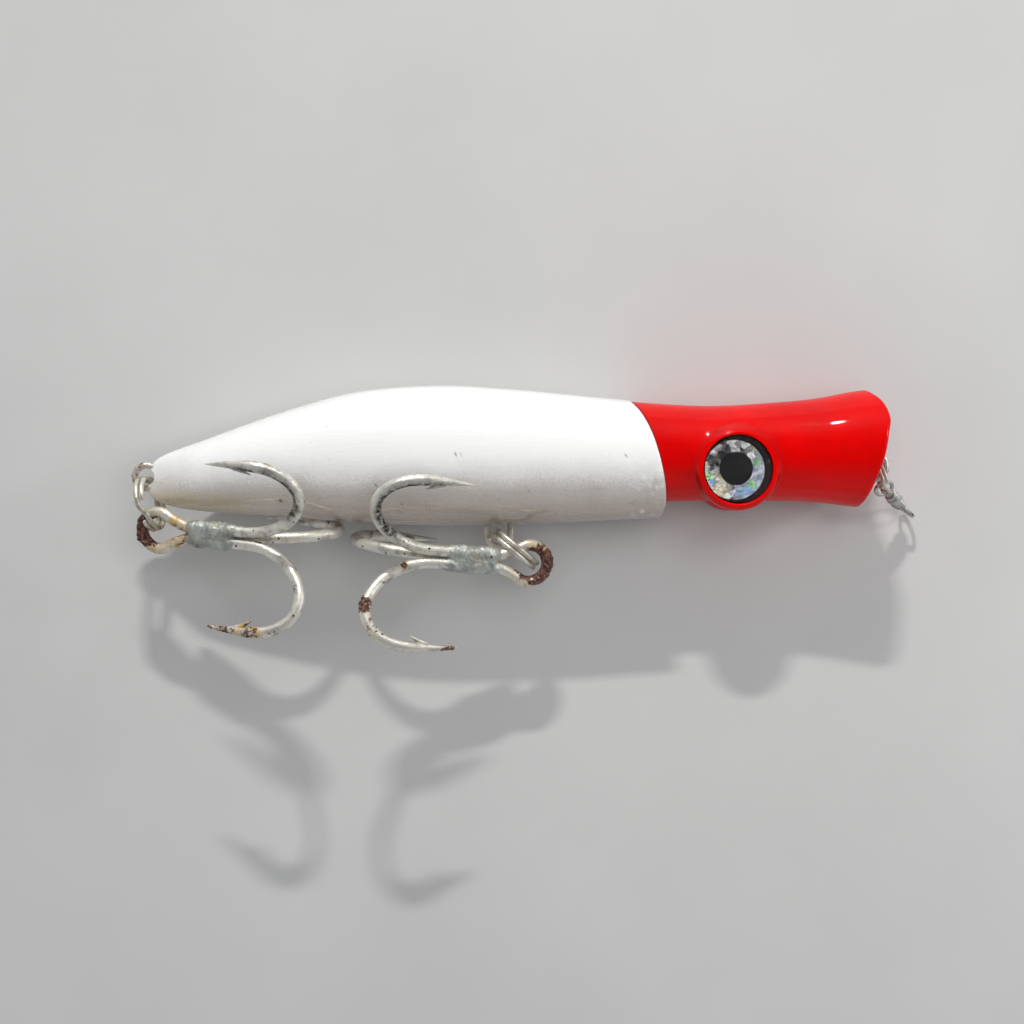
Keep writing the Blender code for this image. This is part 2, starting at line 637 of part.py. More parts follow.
def arm_radii(points):
    """Full wire up to the point, then a taper."""
    tip = Vector(points[-1])
    shares = [min((Vector(p) - tip).length / POINT_LENGTH, 1.0) for p in points]
    return [POINT_RADIUS + (HOOK_WIRE - POINT_RADIUS) * share ** POINT_TAPER for share in shares]


def double_wire_points():
    """Two arms and the eye, bent from one wire: point, bend, shank, eye, shank, bend, point."""
    first, second = (arm_points(angle) for angle in DOUBLE_ARM_ANGLES)
    side, height = first[0][1:]
    eye_run = [(x, y, height) for x, y, z in arc((0, 0), HOOK_EYE_RADIUS, HOOK_EYE_ANGLES, HOOK_EYE_STEPS)]
    near = [(SHANK_START, side, height), (EYE_SHOULDER_X, side + EYE_SHOULDER_SPREAD, height)]
    far = [(x, -y, z) for x, y, z in reversed(near)]
    middle = [*near, *eye_run, *far]
    radii = [*reversed(arm_radii(first)), *[HOOK_WIRE] * len(middle), *arm_radii(second)]
    return [*reversed(first), *middle, *second], radii


def treble(prefix, setting, parent, finishes):
    """A treble hook in three pieces: a double wire with the eye, a single wire, and the braze round the shanks."""
    where = treble_frame(setting)
    points, radii = double_wire_points()
    wire_part(f"{prefix}_treble_double", points, radii, finishes["hook"], parent, where)
    single = [(SINGLE_SHANK_START, 0.0, -SHANK_OFFSET), *arm_points(SINGLE_ARM_ANGLE)]
    wire_part(f"{prefix}_treble_single", single, arm_radii(single), finishes["hook"], parent, where)
    sleeve = finished(
        f"{prefix}_treble_braze",
        cylinder(f"{prefix}_treble_braze", (BRAZE_START, 0, 0), (BRAZE_END, 0, 0), BRAZE_RADIUS, 20),
        finishes["braze"], parent, where,
    )
    before, after = BRAZE_START - 1, BRAZE_END + 1
    for angle in (*DOUBLE_ARM_ANGLES, SINGLE_ARM_ANGLE):
        y, z = SHANK_OFFSET * cos(radians(angle)), SHANK_OFFSET * sin(radians(angle))
        hole = cylinder("shank_hole", (before, y, z), (after, y, z), BRAZE_CHANNEL, 12)
        combine(sleeve, cutter(f"{prefix}_shank_hole_{angle % 360}", hole, parent, where))
    core = cylinder("core_hole", (before, 0, 0), (after, 0, 0), BRAZE_CHANNEL / 2, 8)
    combine(sleeve, cutter(f"{prefix}_core_hole", core, parent, where))


def treble_frame(setting):
    """Turned to its heading, pitch and roll, and lifted until its lowest bend stands on the floor."""
    turn = (
        Matrix.Rotation(setting["heading"], 4, "Z")
        @ Matrix.Rotation(-setting["pitch"], 4, "Y")
        @ Matrix.Rotation(setting["roll"], 4, "X")
    )
    lowest = min((turn @ Vector(p)).z for p in arm_points(SINGLE_ARM_ANGLE)) - HOOK_WIRE
    x, y = setting["eye"]
    return Matrix.Translation(metres((x, y, FLOOR_CLEARANCE - FLANK_TO_MID_PLANE - lowest))) @ turn


def finishes():
    return {
        "white": material("pearl_white_paint", (0.80, 0.79, 0.76), 0.25, 0.0),
        "red": material("gloss_red_paint", (0.72, 0.02, 0.02), 0.15, 0.0),
        "foil": material("prism_foil", (0.70, 0.72, 0.70), 0.20, 1.0),
        "dome": material("clear_eye", (0.95, 0.95, 0.95), 0.05, 0.0, 1.0),
        "wire": material("through_wire_steel", (0.55, 0.54, 0.52), 0.30, 1.0),
        "lead": material("ballast_lead", (0.22, 0.22, 0.24), 0.60, 1.0),
        "brass": material("rattle_brass", (0.70, 0.52, 0.22), 0.35, 1.0),
        "steel": material("ball_steel", (0.60, 0.60, 0.60), 0.15, 1.0),
        "ring": material("split_ring_steel", (0.50, 0.50, 0.48), 0.35, 1.0),
        "dull_steel": material("swivel_steel", (0.30, 0.29, 0.27), 0.55, 1.0),
        "hook": material("tinned_hook", (0.62, 0.61, 0.57), 0.38, 1.0),
        "braze": material("hook_braze", (0.45, 0.43, 0.39), 0.60, 1.0),
    }


def main():
    clear_scene()
    collection(LURE)
    collection(CUTTERS)
    finish = finishes()
    lure = bpy.data.objects.new("lure_axes", None)
    lure.location = metres((TAIL_TIP_X, WIRE_AXIS_Y, FLANK_TO_MID_PLANE))
    bpy.data.collections[LURE].objects.link(lure)

    cutters = shell_cutters(lure)
    for side_name, side in (("right", 1), ("left", -1)):
        body_shell(f"body_shell_{side_name}", side, lure, cutters, finish["white"])
        head_shell(f"head_shell_{side_name}", side, lure, cutters, finish["red"])
        eye(side_name, side, lure, finish["foil"], finish["dome"])

    points = through_wire_points()
    wire_part("through_wire", points, [WIRE_RADIUS] * len(points), finish["wire"], lure)
    slug("tail_ballast", lure=lure, finish=finish["lead"], **TAIL_BALLAST)
    slug("belly_ballast", lure=lure, finish=finish["lead"], **BELLY_BALLAST)
    rattle(lure, finish)

    belly_swing = pivot("belly_ring_swing", lure, BELLY_RING_PIVOT)
    belly_where = ring_frame(BELLY_RING_CENTRE, BELLY_RING_ALONG, UPRIGHT, BELLY_RING_START)
    split_ring("belly_split_ring", HOOK_RING, belly_where, belly_swing, finish["ring"])
    belly_hook = pivot("belly_hook_swing", belly_swing, BELLY_HOOK_PIVOT)
    treble("belly", BELLY_TREBLE, belly_hook, finish)

    tail_swing = pivot("tail_ring_swing", lure, TAIL_RING_PIVOT)
    tail_where = ring_frame(TAIL_RING_CENTRE, TAIL_RING_ALONG, tail_ring_up(), TAIL_RING_START)
    split_ring("tail_split_ring", HOOK_RING, tail_where, tail_swing, finish["ring"])
    tail_hook = pivot("tail_hook_swing", tail_swing, TAIL_HOOK_PIVOT)
    treble("tail", TAIL_TREBLE, tail_hook, finish)

    nose_swing = pivot("nose_ring_swing", lure, NOSE_RING_PIVOT)
    nose_where = ring_frame(NOSE_RING_CENTRE, NOSE_RING_ALONG, UPRIGHT, NOSE_RING_START)
    split_ring("nose_split_ring", NOSE_RING, nose_where, nose_swing, finish["ring"])
    link = tuple(nose_link_point())
    swivel_pivots = {"swivel": pivot("swivel_swing", nose_swing, link)}
    swivel_pivots["barrel"] = pivot("swivel_barrel_spin", swivel_pivots["swivel"], link)
    swivel_pivots["outer"] = pivot("swivel_outer_spin", swivel_pivots["barrel"], link)
    swivel(swivel_pivots, finish)


main()
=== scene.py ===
"""Looks for the topwater popper: painted body and head, foil eyes, rusty treble hooks, rings and swivel.

Lure axes, in millimetres: x runs from the tail tip to the mouth, y from the belly to the back, and z from the
mid-plane to the right flank. Every piece is built in the row frame from these by at().
"""

import json
from math import cos, pi, radians, sin

import bmesh
import bpy
import numpy as np
from mathutils import Matrix, Vector, noise


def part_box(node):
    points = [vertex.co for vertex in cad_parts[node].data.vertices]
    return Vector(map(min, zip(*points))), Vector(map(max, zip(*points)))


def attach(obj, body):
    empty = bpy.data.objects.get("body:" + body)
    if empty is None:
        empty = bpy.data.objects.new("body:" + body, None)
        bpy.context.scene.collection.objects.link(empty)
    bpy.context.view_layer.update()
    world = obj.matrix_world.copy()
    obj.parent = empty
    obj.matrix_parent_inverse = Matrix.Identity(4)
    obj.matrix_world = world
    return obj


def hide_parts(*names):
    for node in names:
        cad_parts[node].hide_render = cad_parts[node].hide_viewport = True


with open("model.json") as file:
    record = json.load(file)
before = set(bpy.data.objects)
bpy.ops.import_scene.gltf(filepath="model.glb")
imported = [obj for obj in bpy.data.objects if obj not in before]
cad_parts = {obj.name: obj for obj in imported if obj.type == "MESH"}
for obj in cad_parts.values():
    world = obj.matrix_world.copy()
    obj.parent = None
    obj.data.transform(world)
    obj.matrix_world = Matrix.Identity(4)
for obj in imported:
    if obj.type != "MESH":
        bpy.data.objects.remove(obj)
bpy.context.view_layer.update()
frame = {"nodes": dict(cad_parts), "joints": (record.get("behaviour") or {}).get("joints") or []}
MM = 0.001

# The nose ring's pivot in lure axes: the frame's own pivot minus this is the tail tip
NOSE_RING_PIVOT = (132.4, 2.85, 0)
NOSE_JOINT = next(j for j in frame["joints"] if j["name"] == "nose_ring_swing")
ORIGIN = np.array(NOSE_JOINT["pos_m"]) / MM - np.array(NOSE_RING_PIVOT)

# Outlines: (x, back, belly, half-width)
BODY_ROWS = (
    (0, 0.8, -2.4, 0.6), (0.5, 2.2, -3.4, 0.7), (2, 3.7, -4.4, 1.35), (5.6, 5.3, -5.5, 3.3),
    (9.3, 6.6, -6, 5.3), (16.6, 9.3, -6.6, 7), (27, 12.8, -7.2, 8.9), (38.4, 15.7, -8.2, 10.3),
    (53, 16.8, -8.7, 11), (67.5, 16, -8.4, 10.9), (82.1, 14.6, -7.8, 10.4), (97, 13.3, -7, 9.8),
)
HEAD_ROWS = (
    (85, 14.1, -4.7, 9.6), (94, 13.4, -4.3, 9.3), (103, 13.1, -4.2, 9.2), (114.9, 13.8, -4.2, 9.5),
    (121.6, 14.5, -4.5, 10), (128.7, 15.8, -5.3, 10.6), (137, 16.4, -5.7, 10.9),
)
GILL_LINE = (
    (85, 16.5), (87.2, 14), (89, 11.6), (90.6, 8.2), (91.8, 4.3), (92.6, 0.8), (93.1, -2.4),
    (93.2, -5.2), (92.7, -7.2), (91.6, -9.5),
)
MOUTH_RIM = (
    (129, 18.5), (130.6, 16), (132.5, 13.9), (133.4, 11), (133.1, 8.5), (132.2, 3.5), (131, -0.6),
    (129.7, -4.3), (128.2, -7.5),
)
GILL_EDGE_RADIUS = 0.45
GILL_END_DEPTH = 5
HEAD_START_BEHIND_GILL = 1.6
LIP_THICKNESS, LIP_SETBACK = 1.3, 0.6
CUP_CENTRE, CUP_DEPTH = (131.4, 5.4), 5.2
SEAM_DEPTH, SEAM_WIDTH = 0.05, 0.14
TAIL_NOTCH_RADIUS, TAIL_NOTCH_HALF = 1.6, 3
ON_AXIS = 0.001

# Wear: dents as (x, y, radius, depth), nicks in the paint as (x, y, radius), and the blisters on each side
DENTS = (
    (64.5, -6.9, 0.5, 0.16), (67.2, -6.9, 0.45, 0.14), (24.6, -4.2, 0.5, 0.12), (49, -4.8, 0.3, 0.08),
)
NICKS = (
    (24.6, -4.2, 0.32), (56.2, 4.1, 0.17), (57, 3.9, 0.14), (86.2, 3.8, 0.16), (33, 9, 0.14),
    (42, -1.5, 0.16),
)
BLISTERS = 40

# Eyes; the glints are (angle in degrees, distance from the foil's middle)
EYE_X, EYE_Y = 106.35, 1.45
BOSS_RADIUS, BOSS_TOP, BOSS_FOOT, BOSS_FILLET = 7.35, 9.5, 3, 0.6
BOSS_SOFTENING = 8
SOCKET_RADIUS, SOCKET_FLOOR = 6.2, 8.2
FOIL_X, FOIL_Y, FOIL_RADIUS, FOIL_Z = 105.75, 1.3, 5.25, 8.5
PUPIL_X, PUPIL_Y, PUPIL_RADIUS = 106, 1.55, 2.95
FOIL_BACK, FOIL_MIDDLE, FOIL_ROUGHNESS = -0.1, 0.12, 0.1
FOIL_RINGS, FOIL_STEPS = 9, 44
GREEN_GLINTS = ((20, 4.1), (193, 4.6), (318, 4))
BLUE_GLINTS = ((207, 4.5), (283, 4), (305, 4.3))
RIM_ROLL, RIM_STEPS = 0.3, 128
DOME_RADIUS, DOME_FOOT, DOME_EDGE, DOME_HEIGHT = 5.95, 8.86, 0.35, 1.3

# Through-wire
WIRE_RADIUS = 0.6
TAIL_LOOP, TAIL_LOOP_RADIUS = (-0.4, 0.2), 2.1
NOSE_LOOP, NOSE_LOOP_RADIUS = (131.8, 2.1), 2.4
BELLY_LOOP, BELLY_LOOP_RADIUS = (63.7, -10.35), 2.15
CORNER_RADIUS = 1.6

# Split rings: radius, wire radius, pitch of the two coils
HOOK_RING = (4.7, 0.475, 1.05)
NOSE_RING = (2.85, 0.3, 0.68)
BELLY_RING_CENTRE, BELLY_RING_ALONG = (66.6, -12.8, 2.1), (0.77, -0.64, 0)
TAIL_RING_CENTRE, TAIL_RING_ALONG, TAIL_RING_LEAN = (0.42, -4.6, 0.92), (0.25, -0.968, 0), radians(12)
NOSE_RING_CENTRE, NOSE_RING_ALONG = (133.3, 0.15, 0), (0.32, -0.95, 0)
COIL_END, CROSSOVER = radians(670), (radians(320), radians(355))

# Swivel, along its own axis
SWIVEL_AXIS, SWIVEL_LINK_ANGLE = (6.46, -5, -7.8), radians(-45)
SWIVEL_EYE_RADIUS, SWIVEL_EYE_WIRE = 1.6, 0.35
INNER_EYE_X, OUTER_EYE_X = 0.3, 9.3
BARREL_START, BARREL_END, BARREL_RADIUS = 2.8, 7, 1.1
WOUND_TURNS, WOUND_RADIUS, WOUND_WIRE = 2.6, 0.5, 0.24
OUTER_EYE_TURN = radians(70)

# Treble hooks, in the hook's own axes: x from the eye to the bends
HOOK_WIRE, SHANK_OFFSET = 1.02, 1.27
HOOK_EYE_RADIUS, HOOK_EYE_END, BEND_CENTRE = 3.35, 3.5, (21.5, 9.3)
ARM_PROFILE = (
    (14.8, 1.27), (20.2, 1.55), (25.4, 3.9), (28.7, 7.4), (29.9, 11), (28.6, 14.5), (25.2, 16.7),
    (20.6, 17.2), (13.2, 16.8),
)
DOUBLE_ANGLES, SINGLE_ANGLE = (30, 150), -90
ARM_SMOOTHING = 30
POINT_LENGTH, POINT_RADIUS = 9, 0.05
BARB_ROOT, BARB_LENGTH, BARB_LIFT = 5.3, 3.2, 1.25
BELLY_TREBLE = dict(eye=(69, -15.3), heading=175.8, pitch=13.7, roll=-9.2)
TAIL_TREBLE = dict(eye=(2.6, -9.4), heading=-5, pitch=18.5, roll=12.5)
BRAZE_START, BRAZE_END = 5.3, 16


# Points and meshes

def at(points):
    """Points in lure millimetres as row-frame metres."""
    return (np.asarray(points, float) + ORIGIN) * MM


def smooth_run(points, steps):
    """A Catmull-Rom curve through the points, as an array."""
    run = np.array(points, float)
    run = np.vstack((2 * run[0] - run[1], run, 2 * run[-1] - run[-2]))
    t = (np.arange(steps) / steps)[:, None]
    spans = [
        b + (c - a) * t / 2 + (2 * a - 5 * b + 4 * c - d) * t ** 2 / 2 + (3 * b - a - 3 * c + d) * t ** 3 / 2
        for a, b, c, d in zip(run, run[1:], run[2:], run[3:])
    ]
    return np.vstack((*spans, run[-2]))


def evenly(path, spacing):
    """The same path with points at an even spacing."""
    path = np.asarray(path, float)
    length = np.concatenate(((0,), np.cumsum(np.linalg.norm(np.diff(path, axis=0), axis=1))))
    wanted = np.linspace(0, length[-1], max(int(length[-1] / spacing), 2) + 1)
    return np.column_stack([np.interp(wanted, length, path[:, k]) for k in range(3)])


def unit(vectors):
    return vectors / np.maximum(np.linalg.norm(vectors, axis=-1, keepdims=True), 1e-9)


def direction(degrees):
    return np.array((cos(radians(degrees)), sin(radians(degrees))))


def ease(low, high, value):
    """0 up to low and 1 from high on, with a smooth rise between; low may be the larger."""
    t = np.clip((np.asarray(value, float) - low) / (high - low), 0, 1)
    return t * t * (3 - 2 * t)


def fractal(points, scale, octaves=3):
    """Smooth noise from about -1 to 1 at each point; the scale is the size of its lumps in millimetres."""
    return np.array([noise.fractal(Vector(p) / scale, 1, 2, octaves) for p in np.asarray(points)])


def tube_faces(rows, around):
    """Quads between the rows of a grid of points that closes on itself around, and a cap at each end."""
    faces = []
    for i in range(rows - 1):
        for j in range(around):
            a, k = i * around, (j + 1) % around
            faces.append((a + j, a + k, a + around + k, a + around + j))
    return faces + [range(around), range((rows - 1) * around, rows * around)]


def grid_normals(grid):
    """Outward normals of a grid (stations, around, 3) that closes on itself around."""
    around = np.roll(grid, -1, axis=1) - np.roll(grid, 1, axis=1)
    return unit(np.cross(around, np.gradient(grid, axis=0)))


def new_object(name, data):
    obj = bpy.data.objects.new(name, data)
    bpy.context.scene.collection.objects.link(obj)
    return obj


def closed_mesh(name, points, faces):
    """A mesh from lure millimetres, with its faces turned outwards."""
    mesh = bpy.data.meshes.new(name)
    mesh.from_pydata(at(points).tolist(), [], [tuple(f) for f in faces])
    shape = bmesh.new()
    shape.from_mesh(mesh)
    bmesh.ops.recalc_face_normals(shape, faces=shape.faces)
    shape.to_mesh(mesh)
    shape.free()
    return mesh


def piece(name, shape, finish, replaced=(), masks=None, body="lure_body", sharp=40):
    """A closed piece from (points, faces) that rides on a body, with its masks as point attributes."""
    mesh = closed_mesh(name, *shape)
    for mask, values in (masks or {}).items():
        attribute = mesh.attributes.new(mask, "FLOAT", "POINT")
        attribute.data.foreach_set("value", np.full(len(mesh.vertices), values, np.float32))
    obj = new_object(name, mesh)
    mesh.materials.append(FINISH[finish])
    mesh.shade_smooth()
    mesh.set_sharp_from_angle(angle=radians(sharp))
    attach(obj, body)
    if replaced:
        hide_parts(*replaced)
    return obj


def cut(obj, points, faces):
    """Takes a closed shape away from a piece, for good."""
    cutter = new_object("cutter", closed_mesh("cutter", points, faces))
    boolean = obj.modifiers.new("cut", "BOOLEAN")
    boolean.object = cutter
    boolean.solver = "EXACT"
    view = bpy.context.evaluated_depsgraph_get()
    result = bpy.data.meshes.new_from_object(obj.evaluated_get(view))
    obj.modifiers.clear()
    obj.data = result
    bpy.data.objects.remove(cutter)


def sweep(path, radii, sides=18):
    """A round wire along a path in lure millimetres, with a radius at each point, capped at both ends."""
    path = np.asarray(path, float)
    tangents = unit(np.gradient(path, axis=0))
    side = Vector(tangents[0]).orthogonal().normalized()
    turns = [2 * pi * i / sides for i in range(sides)]
    points = []
    for point, tangent, radius in zip(path, tangents, radii):
        tangent = Vector(tangent)
        side = (side - tangent * side.dot(tangent)).normalized()
        up = tangent.cross(side)
        points += [Vector(point) + (side * cos(a) + up * sin(a)) * radius for a in turns]
    return np.array(points), tube_faces(len(path), sides)


def lathe(profile, steps, origin, axis):
    """A profile of (radius, height) turned about an axis through the origin, capped at both ends."""
    z = Vector(axis).normalized()
    x = z.orthogonal().normalized()
    y = z.cross(x)
    turns = [2 * pi * i / steps for i in range(steps)]
    points = [Vector(origin) + z * h + (x * cos(a) + y * sin(a)) * r for r, h in profile for a in turns]
    return np.array(points), tube_faces(len(profile), steps)


def drum(radius, low, high):
    """A plain round profile for lathe()."""
    return [(ON_AXIS, low), (radius, low), (radius, high), (ON_AXIS, high)]


def join(*shapes):
    """Several (points, faces) as one."""
    faces, start = [], 0
    for points, more_faces in shapes:
        faces += [[start + i for i in face] for face in more_faces]
        start += len(points)
    return np.vstack([points for points, _ in shapes]), faces


def frame_axes(origin, x_axis, z_axis):
    """A 4x4 placement from its origin, its x axis and roughly its z axis."""
    x, z = Vector(x_axis).normalized(), Vector(z_axis)
    z = (z - x * z.dot(x)).normalized()
    turn = Matrix((x, z.cross(x), z)).transposed().to_4x4()
    return Matrix.Translation(Vector(origin)) @ turn


def placed(points, where):
    m = np.array(where)
    return np.asarray(points, float) @ m[:3, :3].T + m[:3, 3]


# Materials

def feed(tree, socket, value):
    """Sets a socket to a value, or links it from another socket."""
    if isinstance(value, bpy.types.NodeSocket):
        tree.links.new(value, socket)
    else:
        socket.default_value = value


def add(tree, kind, inputs=None, **settings):
    """A shader node with its settings and inputs; an input is a value, or a socket to link from."""
    made = tree.nodes.new("ShaderNode" + kind)
    for name, value in settings.items():
        setattr(made, name, value)
    for name, value in (inputs or {}).items():
        feed(tree, made.inputs[name], value)
    return made


def ramp(tree, factor, *stops):
    """A colour ramp: each stop is (position, grey or colour)."""
    made = add(tree, "ValToRGB", {"Fac": factor})
    elements = made.color_ramp.elements
    while len(elements) < len(stops):
        elements.new(0.5)
    for element, (position, colour) in zip(elements, stops):
        element.position = position
        element.color = (*colour, 1) if isinstance(colour, tuple) else (colour, colour, colour, 1)
    return made.outputs["Color"]


def mix(tree, factor, first, second):
    """From the first colour to the second by a factor."""
    made = add(tree, "Mix", data_type="RGBA")
    feed(tree, made.inputs[0], factor)
    for socket, value in ((made.inputs[6], first), (made.inputs[7], second)):
        feed(tree, socket, (*value, 1) if isinstance(value, tuple) else value)
    return made.outputs[2]


def calc(tree, operation, *values, clamp=False):
    made = add(tree, "Math", operation=operation, use_clamp=clamp)
    for socket, value in zip(made.inputs, values):
        feed(tree, socket, value)
    return made.outputs[0]


def times(tree, first, second):
    return calc(tree, "MULTIPLY", first, second)


def swing(tree, factor, amount):
    """A factor from 0 to 1 made to swing about zero, over the amount in all."""
    return times(tree, calc(tree, "SUBTRACT", factor, 0.5), amount)


def mask_of(tree, name):
    return add(tree, "Attribute", attribute_name=name).outputs["Fac"]


def stretched(tree, scale=(1, 1, 1)):
    """Object coordinates stretched by a scale along each axis."""
    where = add(tree, "TexCoord").outputs["Object"]
    return add(tree, "Mapping", {"Vector": where, "Scale": scale}).outputs["Vector"]


def noise_at(tree, per_metre, detail=4, roughness=0.55, scale=(1, 1, 1)):
    inputs = {"Vector": stretched(tree, scale), "Scale": per_metre, "Detail": detail, "Roughness": roughness}
    return add(tree, "TexNoise", inputs).outputs["Fac"]


def patchy(tree, low, high, *noise_settings):
    """Noise through a ramp with two stops."""
    return ramp(tree, noise_at(tree, *noise_settings), low, high)


def specks(tree, per_metre, size, share):
    """Round specks: the share of cells that hold one, and its size as a part of the cell."""
    cells = add(tree, "TexVoronoi", {"Vector": stretched(tree), "Scale": per_metre})
    parts = add(tree, "SeparateColor", {"Color": cells.outputs["Color"]})
    chosen = calc(tree, "LESS_THAN", parts.outputs[0], share)
    near = calc(tree, "LESS_THAN", cells.outputs["Distance"], size)
    return times(tree, chosen, near)


def bumped(tree, height, distance, strength=1):
    return add(tree, "Bump", {"Height": height, "Distance": distance, "Strength": strength}).outputs["Normal"]


def new_finish(name, **constants):
    """A material and its node tree, with constants set on the shader's own sockets."""
    made = bpy.data.materials.new(name)
    made.use_nodes = True
    shader = made.node_tree.nodes["Principled BSDF"]
    for socket, value in constants.items():
        shader.inputs[socket.replace("_", " ")].default_value = value
    return made, made.node_tree, shader


def connect(tree, shader, tone, roughness, normal=None):
    tree.links.new(tone, shader.inputs["Base Color"])
    tree.links.new(roughness, shader.inputs["Roughness"])
    if normal:
        tree.links.new(normal, shader.inputs["Normal"])


def pearl_white():
    """Pearl paint: a white flank, darker and browner towards the belly as two-tone paint and painted shade,
    with flakes, grime and painted shade, stains, specks and chips.
    """
    made, tree, shader = new_finish("pearl_white", Coat_Weight=0.9, Coat_Roughness=0.06, Metallic=0)
    # Darker and browner towards the belly: partly the paint's own two-tone, partly painted shade of the lower
    # flank
    height = add(tree, "SeparateXYZ", {"Vector": stretched(tree)}).outputs["Y"]
    span = {"From Min": (ORIGIN[1] - 8) * MM, "From Max": (ORIGIN[1] + 5) * MM}
    belly_tone_and_shade = add(tree, "MapRange", {"Value": height, **span}).outputs["Result"]
    cloud = swing(tree, noise_at(tree, 120), 0.3)
    grain = swing(tree, noise_at(tree, 3200, 2), 0.45)
    cloud = calc(tree, "ADD", cloud, grain)
    tone = ramp(
        tree, calc(tree, "ADD", belly_tone_and_shade, cloud, clamp=True),
        (0, (0.42, 0.34, 0.29)), (0.3, (0.56, 0.5, 0.45)), (0.5, (0.66, 0.62, 0.58)),
        (0.62, (0.8, 0.79, 0.77)), (0.9, (0.92, 0.92, 0.91)),
    )
    flakes = noise_at(tree, 9000, 2)
    tone = mix(tree, ramp(tree, flakes, (0.45, 0), (0.75, 0.16)), tone, (0.97, 0.96, 0.98))
    # Grime and painted shade: the piece's mask darkens the lower flank and the creases
    grime_and_shade = patchy(tree, (0.56, 0), (0.7, 1), 700, 6, 0.7, (0.6, 1, 1))
    grime_and_shade = times(tree, grime_and_shade, mask_of(tree, "grime_and_shade"))
    tone = mix(tree, grime_and_shade, tone, (0.34, 0.29, 0.24))
    stained = mask_of(tree, "stain")
    stain = times(tree, stained, patchy(tree, (0.3, 0.2), (0.6, 1), 500))
    tone = mix(tree, stain, tone, (0.62, 0.47, 0.16))
    dots = specks(tree, 620, 0.11, 0.14)
    dots = times(tree, dots, calc(tree, "ADD", mask_of(tree, "grime_and_shade"), 0.12))
    tone = mix(tree, dots, tone, (0.1, 0.07, 0.05))
    tone = mix(tree, mask_of(tree, "chips"), tone, (0.95, 0.94, 0.92))
    tone = mix(tree, mask_of(tree, "nicks"), tone, (0.1, 0.09, 0.08))
    scratches = patchy(tree, (0.4, 0.22), (0.75, 0.42), 1500, 3, 0.5, (0.06, 1, 1))
    skin_height = calc(tree, "ADD", noise_at(tree, 260, 2), times(tree, grime_and_shade, -0.5))
    connect(tree, shader, tone, scratches, bumped(tree, skin_height, 0.00006))
    return made


def gloss_red():
    """Thick gloss red paint in two close tones, with painted shade in its creases, a few dark specks, fine
    scratches and ripples.
    """
    made, tree, shader = new_finish(
        "gloss_red", Coat_Weight=0.35, Coat_Roughness=0.03, Metallic=0, Specular_IOR_Level=0.04,
    )
    cloud = noise_at(tree, 90, 3)
    tone = ramp(tree, cloud, (0.3, (0.62, 0, 0)), (0.7, (0.82, 0, 0)))
    # Darker red from the piece's mask: painted shade in the crease at the gill line and round the eyes
    tone = mix(tree, mask_of(tree, "grime_and_shade"), tone, (0.16, 0.01, 0.01))
    dots = times(tree, specks(tree, 500, 0.08, 0.07), 0.6)
    tone = mix(tree, dots, tone, (0.25, 0.02, 0.02))
    scratches = patchy(tree, (0.4, 0.4), (0.8, 0.55), 1400, 3, 0.5, (0.08, 1, 1))
    connect(tree, shader, tone, scratches, bumped(tree, noise_at(tree, 220, 2), 0.00005))
    return made


def steel(name, colour, roughness, tarnish_and_dark_reflection, spotting):
    """Plated steel with dull patches and dark spots; the piece's masks bring its rust, stains, and a painted
    dark reflection on the hooks' bends.
    """
    made, tree, shader = new_finish(name)
    patches = noise_at(tree, 420, 5, 0.6)
    dark = tuple(c * 0.42 for c in colour)
    bright = tuple(min(c * 1.18, 1) for c in colour)
    tone = ramp(tree, patches, (0.3, dark), (0.3 + tarnish_and_dark_reflection, colour), (0.9, bright))
    stained = mask_of(tree, "stain")
    stain = times(tree, stained, patchy(tree, (0.35, 0.1), (0.6, 1), 600))
    tone = mix(tree, stain, tone, (0.5, 0.33, 0.1))
    spots = specks(tree, 900, 0.2, spotting)
    # Near-black painted reflection of dark surroundings, where the piece's mask asks for it
    dark_reflection = patchy(tree, (0.36, 0.25), (0.56, 1), 1100, 4, 0.65)
    dark_reflection = times(tree, mask_of(tree, "tarnish_and_dark_reflection"), dark_reflection)
    tone = mix(tree, dark_reflection, tone, (0.035, 0.033, 0.03))
    rust_noise = noise_at(tree, 1300, 6, 0.7)
    rust_mask = mask_of(tree, "rust")
    rust = calc(tree, "ADD", rust_mask, swing(tree, rust_noise, 1.7))
    rust = ramp(tree, rust, (0.42, 0), (0.56, 1))
    rust_tone = ramp(
        tree, noise_at(tree, 1900, 5, 0.75),
        (0.34, (0.014, 0.008, 0.008)), (0.45, (0.058, 0.026, 0.02)), (0.54, (0.15, 0.066, 0.048)),
        (0.66, (0.38, 0.22, 0.17)),
    )
    tone = mix(tree, spots, tone, (0.05, 0.045, 0.04))
    tone = mix(tree, rust, tone, rust_tone)
    corroded = calc(tree, "MAXIMUM", rust, spots)
    bare = calc(tree, "SUBTRACT", 1, corroded)
    metal = calc(tree, "MULTIPLY", bare, calc(tree, "SUBTRACT", 1, stain), clamp=True)
    feed(tree, shader.inputs["Metallic"], times(tree, metal, 0.8))
    polish = ramp(tree, patches, (0.3, roughness + 0.2), (0.7, roughness))
    polish = mix(tree, corroded, polish, (0.88, 0.88, 0.88))
    grain = calc(tree, "ADD", noise_at(tree, 2600, 4, 0.7), times(tree, rust, rust_noise))
    connect(tree, shader, tone, polish, bumped(tree, grain, 0.00009, 0.8))
    return made


